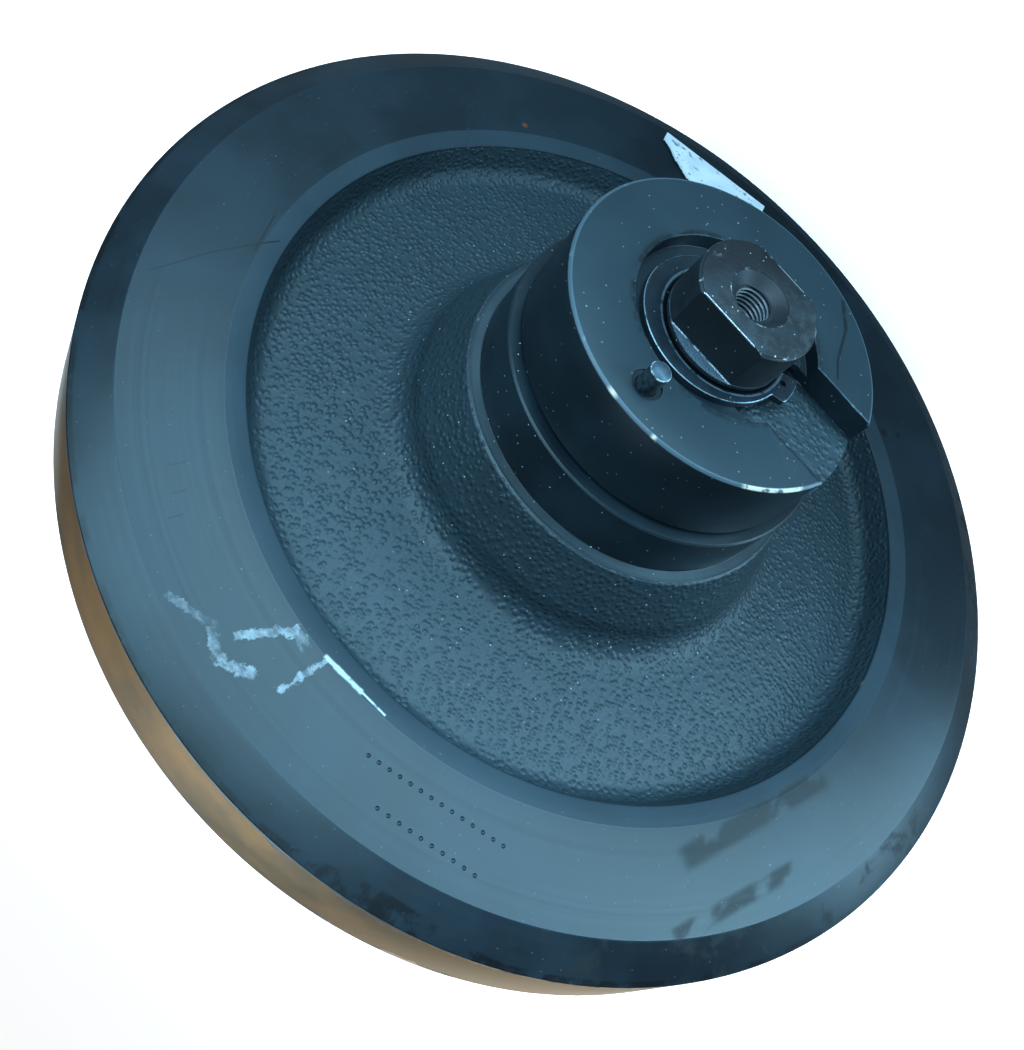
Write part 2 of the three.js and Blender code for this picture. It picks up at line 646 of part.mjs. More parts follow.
/** The pieces that every side of the idler has, drawn with +Y outwards. */
function sidePieces(side) {
  const group = new THREE.Group();
  group.add(
    part(`bushing_${side}`, bushing(), 'bronze'),
    part(`hub_seal_ring_${side}`, sealRing(-1), 'sealIron'),
    part(`hub_seal_rubber_${side}`, toricRing(-1), 'rubber'),
    part(`collar_seal_ring_${side}`, sealRing(1), 'sealIron'),
    part(`collar_seal_rubber_${side}`, toricRing(1), 'rubber'),
    part(`collar_${side}`, collar(), 'blackPaint'),
    part(`collar_o_ring_${side}`, collarORing(), 'rubber'),
    part(`snap_ring_${side}`, snapRing(), 'springSteel'),
    part(`locating_pin_${side}`, locatingPin(), 'turnedSteel'),
  );
  return group;
}

const idler = new THREE.Group();
idler.add(part('idler_wheel', idlerWheel(), 'blackPaint'));
idler.add(part('shaft', shaft(), 'turnedSteel'));

const filler = new THREE.Group();
filler.add(part('oil_filler_plug', fillerPlug(), 'turnedSteel'));
filler.add(part('filler_plug_washer', fillerWasher(), 'copper'));
filler.applyMatrix4(fillerMatrix());
idler.add(filler);

const left = sidePieces('left');
idler.add(left);

const right = sidePieces('right');
right.add(part('blank_label', blankLabel(), 'paper'));
right.rotation.x = Math.PI;
idler.add(right);

export default idler;
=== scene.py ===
# %% [markdown]
# # The front idler of a small digger
# An idler is the wheel at the front of a crawler's undercarriage: the track runs round it, and the two flats
# on each end of its shaft slide in a sprung fork that keeps the track tight. The moving frame of the part is
# already made, with every joint and size fixed. This lesson builds the surfaces round that frame: real
# roundings, a cut thread, an uneven forging, and the paint, steel and rust that such a wheel wears.
#
# Everything is in metres in the frame of the part: the wheel turns about +Y and stands on its tread, +Z up.

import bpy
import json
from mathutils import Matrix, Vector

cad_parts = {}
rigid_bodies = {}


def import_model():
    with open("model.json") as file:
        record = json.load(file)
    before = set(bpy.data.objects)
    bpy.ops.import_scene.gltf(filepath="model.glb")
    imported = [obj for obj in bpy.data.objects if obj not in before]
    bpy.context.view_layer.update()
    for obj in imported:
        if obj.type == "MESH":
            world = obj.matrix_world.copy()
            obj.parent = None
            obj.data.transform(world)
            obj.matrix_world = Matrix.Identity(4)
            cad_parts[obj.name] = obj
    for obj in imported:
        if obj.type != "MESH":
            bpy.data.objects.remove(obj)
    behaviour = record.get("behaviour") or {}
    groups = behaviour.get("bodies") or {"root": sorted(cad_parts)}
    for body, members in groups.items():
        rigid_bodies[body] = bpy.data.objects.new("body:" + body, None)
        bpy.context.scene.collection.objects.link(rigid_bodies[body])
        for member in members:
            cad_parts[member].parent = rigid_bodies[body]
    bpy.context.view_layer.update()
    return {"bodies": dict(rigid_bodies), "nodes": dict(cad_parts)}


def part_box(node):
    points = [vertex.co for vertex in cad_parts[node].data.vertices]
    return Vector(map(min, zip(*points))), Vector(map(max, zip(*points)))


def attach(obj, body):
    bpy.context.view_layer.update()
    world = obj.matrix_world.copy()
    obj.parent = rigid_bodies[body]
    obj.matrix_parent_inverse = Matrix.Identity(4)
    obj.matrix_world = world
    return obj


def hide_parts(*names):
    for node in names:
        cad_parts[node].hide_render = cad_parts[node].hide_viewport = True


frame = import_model()
print("bodies", sorted(frame["bodies"]), "nodes", len(frame["nodes"]))

# %% Libraries and units
import json
import math

import bmesh
import bpy
from mathutils import Matrix, Vector, noise

MM = 0.001
X, Y, Z = 0, 1, 2
FIXED = "shaft_assembly"
TURNING = "wheel_assembly"
SIDES = ("right", "left")

# %% [markdown]
# ## Sizes from the frame
# The overall sizes are read from the frame's own nodes, so the surfaces follow it if it is packed again.
# Smaller sizes, such as chamfers and wall draft, are named in millimetres where a piece first needs them.


# %% Read the sizes
def reach(node, axis):
    """How far a node of the frame reaches along an axis from the middle of the wheel, in millimetres."""
    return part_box(node)[1][axis] / MM


def start(node, axis):
    """Where a node of the frame starts along an axis, in millimetres."""
    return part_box(node)[0][axis] / MM


tread_radius = reach("idler_wheel", X)
hub_half = reach("idler_wheel", Y)
collar_radius = reach("collar_left", X)
collar_face = reach("collar_left", Y)
collar_nose = start("collar_left", Y)
shaft_half = reach("shaft", Y)
shaft_middle_radius = reach("shaft", X)
snap_bottom = start("snap_ring_left", Y)
snap_top = reach("snap_ring_left", Y)
label_face = -reach("blank_label", Y)
print(f"tread {tread_radius:.1f}, hub {hub_half:.1f}, collar {collar_face:.1f}, shaft {shaft_half:.1f} mm")

# %% [markdown]
# ## Camera
# The camera stands half a metre away, above the shaft's end, and leans over so far that the top of the wheel
# is at the lower left of the picture. It is placed by its three directions, which are at right angles, and a
# small shift of the lens puts the wheel where it belongs in the frame.

# %% Place the camera
CAMERA_AT = Vector((0.0009, -0.3915, 0.3208))
CAMERA_RIGHT = Vector((-0.6736, -0.4649, -0.5745))
CAMERA_BACK = Vector((-0.0177, -0.7670, 0.6414))
CAMERA_LENS = 39.65
CAMERA_SHIFT = (-0.0596, -0.0843)

camera_data = bpy.data.cameras.new("camera")
camera_data.lens = CAMERA_LENS
camera_data.shift_x, camera_data.shift_y = CAMERA_SHIFT
camera_data.clip_start = 0.01
camera = bpy.data.objects.new("camera", camera_data)
bpy.context.scene.collection.objects.link(camera)
camera_back = CAMERA_BACK.normalized()
camera_up = camera_back.cross(CAMERA_RIGHT).normalized()
camera_right = camera_up.cross(camera_back)
turn = Matrix((camera_right, camera_up, camera_back)).transposed()
camera.matrix_world = Matrix.Translation(CAMERA_AT) @ turn.to_4x4()
bpy.context.scene.camera = camera
print("camera looks along", (-camera_back)[:])

# %% [markdown]
# ## Writing node trees as sums
# Both the shapes and the finishes below are node trees. Wiring each Math node by hand hides the idea, so a
# small class wraps a socket and lets Python's own signs add the nodes: `1 - mask * 0.5` is two Math nodes.
# Every other node comes from one method, which takes the node's type, its settings and what its sockets get.


# %% A value in a node tree
class Value:
    """An output socket that can be added to, multiplied and compared."""

    def __init__(self, graph, socket):
        self.graph = graph
        self.socket = socket

    def maths(self, operation, *terms):
        sockets = {("Value", "Value_001", "Value_002")[i]: term for i, term in enumerate(terms)}
        return self.graph.node("ShaderNodeMath", {"operation": operation}, sockets)["Value"]

    def __add__(self, other):
        return self.maths("ADD", self, other)

    def __sub__(self, other):
        return self.maths("SUBTRACT", self, other)

    def __mul__(self, other):
        return self.maths("MULTIPLY", self, other)

    def __truediv__(self, other):
        return self.maths("DIVIDE", self, other)

    def __rsub__(self, other):
        return self.maths("SUBTRACT", other, self)

    def __rtruediv__(self, other):
        return self.maths("DIVIDE", other, self)

    def __abs__(self):
        return self.maths("ABSOLUTE", self)

    __radd__ = __add__
    __rmul__ = __mul__

    def root(self):
        return self.maths("SQRT", self)

    def most(self, other):
        return self.maths("MAXIMUM", self, other)

    def above(self, low, high):
        """0 below low, 1 above high and a smooth step between. Swapping low and high turns it round."""
        settings = {"interpolation_type": "SMOOTHSTEP", "clamp": True}
        if low < high:
            sockets = {"Value": self, "From Min": low, "From Max": high}
            return self.graph.node("ShaderNodeMapRange", settings, sockets)["Result"]
        sockets = {"Value": self, "From Min": high, "From Max": low, "To Min": 1.0, "To Max": 0.0}
        return self.graph.node("ShaderNodeMapRange", settings, sockets)["Result"]

    def between(self, low, high, soft):
        """1 between low and high, falling to 0 over a soft margin outside them."""
        return self.above(low - soft, low) * self.above(high + soft, high)

    def at(self, level, far, near):
        """1 within `near` of a level, fading to 0 at `far` from it."""
        return abs(self - level).above(far, near)


def strongest(masks):
    """The largest of several masks at each place."""
    first, *others = masks
    for mask in others:
        first = first.most(mask)
    return first


# %% A node tree that is being wired
class Graph:
    """A shader or geometry tree. `node` makes every node of it."""

    def __init__(self, tree):
        self.tree = tree

    def node(self, kind, settings=None, sockets=None):
        """Makes one node: its settings first, then the values or links of its sockets."""
        made = self.tree.nodes.new(kind)
        for name, value in (settings or {}).items():
            setattr(made, name, value)
        for name, value in (sockets or {}).items():
            socket = self.socket(made.inputs, name)
            if isinstance(value, Value):
                self.tree.links.new(value.socket, socket)
            else:
                socket.default_value = value
        return Made(self, made)

    @staticmethod
    def socket(sockets, name):
        """The socket with that identifier, or else the first enabled one with that name."""
        for socket in sockets:
            if socket.identifier == name:
                return socket
        return next(socket for socket in sockets if socket.name == name and socket.enabled)


class Made:
    """A node that was made: its outputs are read by name, as Values."""

    def __init__(self, graph, made):
        self.graph = graph
        self.made = made

    def __getitem__(self, name):
        return Value(self.graph, Graph.socket(self.made.outputs, name))


# %% [markdown]
# ## Turning shapes on a lathe
# Nearly everything here is round: the forging, the shaft, collars, bushings and seals. So one Geometry Nodes
# tree is the lathe. It takes a section drawn as a chain of edges, sweeps it round a tiny circle, welds the
# points that meet on the axis, and can push marked stretches in and out a little, as on a rough forging. A
# Screw modifier could do the sweep, but it couldn't do the unevenness in the same step.

# %% Build the lathe
LATHE_CORE = 1.0
WELD = 0.002
NOISE_VALUE = "Fac"


def new_tree(name, inputs):
    """An empty geometry tree with a mesh in, a mesh out and the named inputs, each with its default."""
    tree = bpy.data.node_groups.new(name, "GeometryNodeTree")
    tree.interface.new_socket("Mesh", in_out="INPUT", socket_type="NodeSocketGeometry")
    tree.interface.new_socket("Mesh", in_out="OUTPUT", socket_type="NodeSocketGeometry")
    for label, (kind, default) in inputs.items():
        socket = tree.interface.new_socket(label, in_out="INPUT", socket_type="NodeSocket" + kind)
        if default is not None:
            socket.default_value = default
    return tree


def end_tree(graph, mesh, material):
    """Closes a geometry tree: real meshes, one material, then the output."""
    real = graph.node("GeometryNodeRealizeInstances", None, {"Geometry": mesh})["Geometry"]
    painted = graph.node("GeometryNodeSetMaterial", None, {"Geometry": real, "Material": material})
    graph.node("NodeGroupOutput", None, {"Mesh": painted["Geometry"]})


def lathe_tree():
    """Sweeps a section about the Y axis. The section's x is the radius and its y the height."""
    tree = new_tree("lathe", {
        "Steps round": ("Int", 96),
        "Unevenness": ("Float", 0.0),
        "Patch size": ("Float", 10.0),
        "Seed": ("Float", 0.0),
        "Material": ("Material", None),
    })
    graph = Graph(tree)
    given = graph.node("NodeGroupInput")
    core = LATHE_CORE * MM
    moved = graph.node("GeometryNodeTransform", None, {
        "Geometry": given["Mesh"], "Translation": (-core, 0, 0)})["Geometry"]
    section = graph.node("GeometryNodeMeshToCurve", None, {"Mesh": moved})["Curve"]
    circle = graph.node("GeometryNodeCurvePrimitiveCircle", None, {
        "Resolution": given["Steps round"], "Radius": core})["Curve"]
    swept = graph.node("GeometryNodeCurveToMesh", None, {
        "Curve": circle, "Profile Curve": section})["Mesh"]
    upright = graph.node("GeometryNodeTransform", None, {
        "Geometry": swept, "Rotation": (math.pi / 2, 0, 0)})["Geometry"]
    welded = graph.node("GeometryNodeMergeByDistance", None, {
        "Geometry": upright, "Distance": WELD * MM})["Geometry"]
    place = graph.node("GeometryNodeInputPosition")["Position"]
    patches = graph.node("ShaderNodeTexNoise", {"noise_dimensions": "4D"}, {
        "Vector": place, "W": given["Seed"], "Scale": 1 / (given["Patch size"] * MM), "Detail": 3.0})
    rough = graph.node("GeometryNodeInputNamedAttribute", None, {"Name": "rough"})["Attribute"]
    lift = (patches[NOISE_VALUE] - 0.5) * rough * given["Unevenness"] * MM
    away = graph.node("GeometryNodeInputNormal")["Normal"]
    push = graph.node("ShaderNodeVectorMath", {"operation": "SCALE"}, {"Vector": away, "Scale": lift})
    pushed = graph.node("GeometryNodeSetPosition", None, {"Geometry": welded, "Offset": push["Vector"]})
    end_tree(graph, pushed["Geometry"], given["Material"])
    return tree


LATHE = lathe_tree()
print("lathe tree has", len(LATHE.nodes), "nodes")


# %% Run a tree on an object and keep its result
def run_tree(tree, mesh, inputs, name):
    """The mesh after a geometry tree, as a new plain object with no modifier."""
    carrier = bpy.data.objects.new(name, mesh)
    bpy.context.scene.collection.objects.link(carrier)
    modifier = carrier.modifiers.new(tree.name, "NODES")
    modifier.node_group = tree
    for socket in tree.interface.items_tree:
        if socket.in_out == "INPUT" and socket.name in inputs:
            modifier[socket.identifier] = inputs[socket.name]
    return settled(carrier)


def settled(carrier):
    """The object with its modifiers applied and then cleared."""
    carrier.update_tag()
    bpy.context.view_layer.update()
    graph = bpy.context.evaluated_depsgraph_get()
    mesh = bpy.data.meshes.new_from_object(carrier.evaluated_get(graph), depsgraph=graph)
    carrier.modifiers.clear()
    carrier.data = mesh
    mesh.name = carrier.name
    return carrier


# %% [markdown]
# ## Drawing sections
# A section is a list of stations: radius, height and how much its corner is rounded. Real steel has no
# sharp corners, and a rounding of a few tenths of a millimetre is what catches the light along an edge.

# %% Draw a rounded outline
CORNER_STEPS = 4
WIDE_ROUNDING = 3.0


def rounded_corner(before, corner, after, rounding, steps):
    """Points of the arc that rounds a corner of an outline."""
    corner = Vector(corner)
    to_before = (Vector(before) - corner).normalized()
    to_after = (Vector(after) - corner).normalized()
    half = to_before.angle(to_after) / 2
    middle = corner + (to_before + to_after).normalized() * rounding / math.sin(half)
    first = corner + to_before * rounding / math.tan(half) - middle
    last = corner + to_after * rounding / math.tan(half) - middle
    sweep = math.atan2(first.cross(last), first.dot(last))
    spokes = [Matrix.Rotation(sweep * i / steps, 2) @ first for i in range(steps + 1)]
    return [tuple(middle + spoke) for spoke in spokes]


def outline(stations, closed=True):
    """An outline's points in millimetres, from stations of (radius, height, rounding)."""
    points = []
    last = len(stations) - 1
    for index, (radius, height, rounding) in enumerate(stations):
        if rounding == 0 or (not closed and index in (0, last)):
            points.append((radius, height))
            continue
        before = stations[index - 1][:2]
        after = stations[(index + 1) % len(stations)][:2]
        steps = CORNER_STEPS if rounding < WIDE_ROUNDING else 2 * CORNER_STEPS
        points += rounded_corner(before, (radius, height), after, rounding, steps)
    return points


def divided(points, longest, where):
    """A closed outline with more points on the sides whose middle passes the test."""
    result = []
    for index, point in enumerate(points):
        here, there = Vector(point), Vector(points[(index + 1) % len(points)])
        pieces = math.ceil((there - here).length / longest) if where((here + there) / 2) else 1
        result += [tuple(here.lerp(there, i / pieces)) for i in range(pieces)]
    return result


# %% Turn a section into a piece
SHARP_ANGLE = math.radians(32)


def section_mesh(points, closed, rough):
    """A chain of edges in metres, with a mark on each point where the surface is rough."""
    mesh = bpy.data.meshes.new("section")
    count = len(points)
    edges = [(i, (i + 1) % count) for i in range(count if closed else count - 1)]
    mesh.from_pydata([(radius * MM, height * MM, 0) for radius, height in points], edges, [])
    marks = mesh.attributes.new("rough", "FLOAT", "POINT")
    for index, (radius, height) in enumerate(points):
        marks.data[index].value = rough(radius, abs(height)) if rough else 0.0
    return mesh


def face_outwards(mesh):
    """Welds doubles, then turns every face outwards and softens the shading between sharp edges."""
    work = bmesh.new()
    work.from_mesh(mesh)
    bmesh.ops.remove_doubles(work, verts=work.verts, dist=WELD * MM)
    bmesh.ops.recalc_face_normals(work, faces=work.faces)
    work.to_mesh(mesh)
    work.free()
    mesh.shade_smooth()
    mesh.set_sharp_from_angle(angle=SHARP_ANGLE)


def turned(name, points, steps, material, closed=True, rough=None, **lathe):
    """A piece turned on the lathe about the Y axis."""
    inputs = {"Steps round": steps, "Material": material}
    inputs.update({label.replace("_", " ").capitalize(): value for label, value in lathe.items()})
    piece = run_tree(LATHE, section_mesh(points, closed, rough), inputs, name)
    face_outwards(piece.data)
    return piece


# %% [markdown]
# ## Cutting one shape with another
# Slots, flats, holes and threads are cut with Boolean modifiers, the way a milling cutter would leave them.
# The exact solver is slower than the fast one, but it copes with a cutter that grazes a round wall.


# %% Cut and place
def cut(piece, *cutters):
    """Cuts the cutters out of a piece, and removes them."""
    for cutter in cutters:
        modifier = piece.modifiers.new("cut", "BOOLEAN")
        modifier.operation = "DIFFERENCE"
        modifier.solver = "EXACT"
        modifier.object = cutter
    settled(piece)
    for cutter in cutters:
        bpy.data.objects.remove(cutter)
    piece.data.shade_smooth()
    piece.data.set_sharp_from_angle(angle=SHARP_ANGLE)
    return piece


def for_side(piece, side):
    """Every end piece is made for the left, +Y side; on the right it is turned half a turn about X."""
    if side == "right":
        piece.data.transform(Matrix.Rotation(math.pi, 4, "X"))
    return piece


def box_cutter(low, high):
    """A plain block from its lowest and highest corners in millimetres."""
    mesh = bpy.data.meshes.new("cutter")
    work = bmesh.new()
    bmesh.ops.create_cube(work, size=1)
    size = Vector(high) - Vector(low)
    middle = (Vector(high) + Vector(low)) / 2
    place = Matrix.Translation(middle * MM) @ Matrix.Diagonal((*(size * MM), 1))
    bmesh.ops.transform(work, matrix=place, verts=work.verts)
    work.to_mesh(mesh)
    work.free()
    cutter = bpy.data.objects.new("cutter", mesh)
    bpy.context.scene.collection.objects.link(cutter)
    return cutter


def stands_for(piece, node, body):
    """Hides the frame's node that a piece replaces, attaches the piece to the body it moves with and prints
    its faces.
    """
    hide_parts(node)
    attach(piece, body)
    faces = len(piece.data.polygons)
    print(f"{piece.name}: {faces} faces for {node}")


# %% [markdown]
# ## Finishes
# A finish reads the object's own coordinates, in millimetres, so its pattern sticks to the piece and turns
# with it. `Finish` holds one material with its main shader, the three coordinates, the distance from the
# axle and the angle round it. The helpers below it are the few patterns that all finishes share.


# %% The finish class
def shade(red, green, blue):
    """A colour as a screen shows it, 0 to 255, as the linear colour that a shader wants."""
    parts = [channel / 255 for channel in (red, green, blue)]
    return (*[c / 12.92 if c < 0.04045 else ((c + 0.055) / 1.055) ** 2.4 for c in parts], 1.0)


class Finish(Graph):
    """One material being made."""

    def __init__(self, name, **fixed):
        self.material = bpy.data.materials.new(name)
        self.material.use_nodes = True
        super().__init__(self.material.node_tree)
        self.tree.nodes.clear()
        constants = {}
        for label, value in fixed.items():
            constants[label.replace("_", " ").title().replace("Ior", "IOR")] = value
        self.shader = self.node("ShaderNodeBsdfPrincipled", None, constants).made
        surface = Value(self, self.shader.outputs["BSDF"])
        self.node("ShaderNodeOutputMaterial", None, {"Surface": surface})
        metres = self.node("ShaderNodeTexCoord")["Object"]
        scale = {"Vector": metres, "Scale": 1 / MM}
        self.place = self.node("ShaderNodeVectorMath", {"operation": "SCALE"}, scale)["Vector"]
        split = self.node("ShaderNodeSeparateXYZ", None, {"Vector": self.place})
        self.x, self.y, self.z = split["X"], split["Y"], split["Z"]
        self.radius = (self.x * self.x + self.z * self.z).root()
        self.angle = self.z.maths("ARCTAN2", self.z, self.x)

    def noise(self, size, detail=2.0, roughness=0.5, stretch=(1, 1, 1), seed=0.0):
        """Soft noise from 0 to 1 whose patches are about that many millimetres wide."""
        settings = {"operation": "MULTIPLY"}
        factor = [part / size for part in stretch]
        vector = self.node("ShaderNodeVectorMath", settings, {"Vector": self.place, "Vector_001": factor})
        made = self.node("ShaderNodeTexNoise", {"noise_dimensions": "4D"}, {
            "Vector": vector["Vector"], "W": seed, "Scale": 1.0, "Detail": detail, "Roughness": roughness})
        return made[NOISE_VALUE]

    def rings(self, value, size, detail=3.0, seed=0.0):
        """Noise that changes only with one value, such as turning marks that change with the radius."""
        made = self.node("ShaderNodeTexNoise", {"noise_dimensions": "1D"}, {
            "W": value / size + seed, "Scale": 1.0, "Detail": detail, "Roughness": 0.6})
        return made[NOISE_VALUE]

    def cells(self, spacing, seed):
        """Scattered cells, about that many millimetres apart."""
        shift = {"Vector": self.place, "Vector_001": (seed * 7.1, seed * 3.3, seed * 5.7)}
        shifted = self.node("ShaderNodeVectorMath", {"operation": "ADD"}, shift)["Vector"]
        settings = {"voronoi_dimensions": "3D", "feature": "F1"}
        sockets = {"Vector": shifted, "Scale": 1 / spacing, "Randomness": 1.0}
        return self.node("ShaderNodeTexVoronoi", settings, sockets)

    def specks(self, spacing, size, share, seed=0.0):
        """1 inside scattered round specks: one cell in each spacing, and only that share of the cells."""
        made = self.cells(spacing, seed)
        chosen = self.node("ShaderNodeSeparateColor", None, {"Color": made["Color"]})
        edge = size / spacing
        return made["Distance"].above(edge, edge * 0.5) * chosen["Red"].above(1 - share, 1 - share + 0.01)

    def pimples(self, spacing, seed=0.0):
        """Low round bumps about that far apart: 1 on top of each and 0 between them."""
        return self.cells(spacing, seed)["Distance"].above(0.62, 0.12)

    def near(self, point, size):
        """1 at a point of a side face, given as (x, z), fading to 0 at that distance."""
        across, along = self.x - point[0], self.z - point[1]
        return (across * across + along * along).root().above(size, 0.0)

    def stroke(self, start, end, width, fray=0.0):
        """1 along a stroke on a side face from one (x, z) to another. The fray moves its edges."""
        run = Vector(end) - Vector(start)
        length = run.length
        run /= length
        across, along = self.x - start[0], self.z - start[1]
        travelled = across * run.x + along * run.y
        aside = abs(across * -run.y + along * run.x) + fray
        return (travelled + fray).between(0, length, width) * aside.above(width, width * 0.4)

    def mix(self, factor, first, second):
        """The first colour where the factor is 0 and the second where it is 1."""
        settings = {"data_type": "RGBA", "clamp_factor": True}
        sockets = {"Factor_Float": factor, "A_Color": first, "B_Color": second}
        return self.node("ShaderNodeMix", settings, sockets)["Result_Color"]

    def layers(self, colour, *layers):
        """The colour with other tones laid over it in turn. Each layer is a factor and a tone."""
        for factor, tone in layers:
            colour = self.mix(factor, colour, tone)
        return colour

    def set(self, colour, roughness, metallic=None, relief=None):
        """Feeds the shader. Relief is a height in millimetres."""
        normal = None
        if relief is not None:
            sockets = {"Height": relief, "Distance": MM, "Strength": 1.0}
            normal = self.node("ShaderNodeBump", None, sockets)["Normal"]
        feeds = {"Base Color": colour, "Roughness": roughness, "Metallic": metallic, "Normal": normal}
        for name, value in feeds.items():
            if isinstance(value, Value):
                self.tree.links.new(value.socket, self.shader.inputs[name])
            elif value is not None:
                self.shader.inputs[name].default_value = value
        return self.material


# %% [markdown]
# ## Black paint
# The wheel and the collars wear one coat of thin satin black. It is not a flat black: it is cool in tone,
# cloudy where it went on thick and thin, duller on the rough forging, and it shows the turning marks of the
# machined faces through it. Where an edge has been knocked it is gone, and pale chips and dust sit on it.
# The paint is worked out once as a function, because the collars need the same coat with other damage.

# %% Mix the paint
PAINT_DEEP = shade(15, 24, 30)
PAINT_THIN = shade(28, 42, 50)
PAINT_DULL = shade(45, 62, 69)
PAINT_PALER = shade(60, 78, 88)
PAINT_RUBBED = shade(84, 98, 104)
# Lighter tone along the collar's rim and slot edges, as painted highlight.
PAINT_EDGE_HIGHLIGHT = shade(96, 118, 130)
DUST = shade(205, 215, 220)
SCUFF = shade(156, 168, 174)
SCRATCH = shade(190, 200, 206)
BARE_STEEL = shade(176, 184, 188)
CHIP_CREAM = shade(214, 205, 184)
RUST = shade(120, 66, 34)
# Dark tone for real stains, oil and scratches, and also for painted shade and painted shadow.
STAIN_AND_SHADE = shade(9, 12, 15)
GLOSS = {"specular_ior_level": 0.45, "specular_tint": (0.88, 0.98, 0.98, 1.0)}


def paint(finish, rough, seed):
    """Colour, roughness and relief of the paint; `rough` is 1 on rough forging and 0 on turned faces."""
    clouds = finish.noise(46, detail=4.0, seed=seed)
    patches = finish.noise(9, detail=3.0, seed=seed + 1)
    grain = finish.noise(1.7, detail=2.5, roughness=0.55, seed=seed + 2)
    pimples = finish.pimples(2.5, seed=seed + 3) * (patches * 0.7 + 0.25)
    marks = finish.rings(finish.radius, 0.55, seed=seed) + finish.rings(finish.radius, 2.6, seed=seed + 5)
    turned = (1 - rough) * (marks - 1.0)
    colour = finish.mix(clouds.above(0.35, 0.68), PAINT_DEEP, PAINT_THIN)
    colour = finish.layers(colour, (rough * (patches * 0.4 + 0.5), PAINT_DULL),
                           (rough * grain.above(0.46, 0.3) * 0.5, PAINT_DEEP))
    roughness = 0.31 + clouds * 0.1 + rough * 0.1 + turned * 0.08
    relief = rough * (grain * 0.2 + pimples * 0.62) + turned * 0.004
    return colour, roughness, relief


def dusted(finish, colour, amount, seed):
    """The same colour with fine pale dust and a few larger specks on it."""
    fine = finish.specks(2.4, 0.34, 0.22, seed=seed) * amount
    coarse = finish.specks(9.0, 0.55, 0.2, seed=seed + 1)
    return finish.mix(fine.most(coarse * amount) * 0.85, colour, DUST)


print("paint from", PAINT_DEEP[:3], "to", PAINT_THIN[:3])

# %% [markdown]
# ### Marks on the wheel's face
# A wheel that has been handled is scuffed, scratched and smudged in a few places. Noise alone would spread
# such marks evenly, so each one is a short stroke or spot that is listed as (x, z) on the side face.
# Noise then frays its edges, which keeps it from looking ruled.

# %% Place the marks
SCUFFS = [
    ((58, 184), (41, 180), 3.0, 0.72),
    ((41, 181), (31, 186), 3.0, 0.8),
    ((31, 186), (21, 181), 3.6, 1.0),
    ((34, 177), (22, 160), 2.6, 0.95),
    ((22, 160), (15, 162), 3.0, 0.78),
    ((11, 178), (8, 158), 1.8, 1.0),
]
SCRATCH_HEAD = ((9, 158.6), (-7, 157.6), 1.3)
SCRATCH_TAIL = ((-6, 157.6), (-18.3, 157.0), 0.6)
OLD_SCRATCHES = [
    ((156.5, 109.8), (152, 85.6), 0.45),
    ((152, 85.6), (143.2, 58.0), 0.45),
    ((153.1, 51.7), (144.4, 69.9), 0.5),
]
TICKS = [(91.5, 151.8), (83.2, 158.1), (77.0, 164.6)]
DENTS = [((-90.6, -134.1), 3.2), ((-96.8, -141.1), 2.6)]
SMUDGES = [((-131, 107), (-157, 40), 6.0), ((-144, 131), (-166, 79), 4.0)]
RUST_SPOT = ((135.6, -92.5), 2.2)


def face_marks(finish):
    """Masks of the pale scuffs, the bright scratch, the dark scratches and the smudges."""
    streaks = finish.noise(5, detail=5.0, roughness=0.72, stretch=(0.6, 1, 1), seed=9.0)
    fray = (finish.noise(5, detail=6.0, roughness=0.8, stretch=(1, 1, 0.6), seed=10.0) - 0.5) * 11
    worn = strongest([finish.stroke(*line, fray) * strength for *line, strength in SCUFFS])
    scuff = (worn * (streaks * 1.6 + 0.1)).above(0.55, 1.15)
    bright = finish.stroke(*SCRATCH_HEAD, fray * 0.16).most(finish.stroke(*SCRATCH_TAIL, fray * 0.08))
    bright = bright * finish.noise(6, detail=4.0, roughness=0.7, seed=4.0).above(0.36, 0.46)
    ticks = [((x + 0.9, z + 2.3), (x - 0.9, z - 2.3), 0.5) for x, z in TICKS]
    lines = [finish.stroke(*line) for line in OLD_SCRATCHES + ticks]
    dark = strongest(lines + [finish.near(*dent) for dent in DENTS])
    smudges = strongest([finish.stroke(*line) for line in SMUDGES])
    smudges = smudges * finish.noise(9, detail=4.0, stretch=(1, 1, 0.5), seed=6.0).above(0.38, 0.52)
    return scuff, bright, dark, smudges


print("marks placed:", len(SCUFFS), "scuffs and", len(OLD_SCRATCHES) + len(TICKS), "old scratches")

# %% [markdown]
# ### The wheel's own marks
# On the wheel the finish must know where it is: the web, neck and recess wall between the hub and the rim
# are rough forging, the rest is turned, and the tread is bare. Because everything is round, the distance
# from the axle and the height along it tell these zones apart with no painting by hand. The tread's paint
# edge is ragged, and wanders further over the tread on one stretch.

# %% Finish the wheel
FLAT_RING_OUTER = 196.0
FLAT_RING_INNER = 159.0
RECESS_RADIUS = 151.0
RECESS_EDGE_HALF = 24.0
RIM_HALF = 25.2
TREAD_HALF = 18.0
HUB_RADIUS = 70.0
SHOULDER_RADIUS = 74.4
SHOULDER_HALF = 50.2
# Browns of the bare tread, painted in as a warm reflection.
TREAD_REFLECTION_BROWN = shade(124, 86, 40)
TREAD_REFLECTION_DARK = shade(74, 54, 27)
TREAD_REFLECTION_PALE = shade(140, 106, 60)


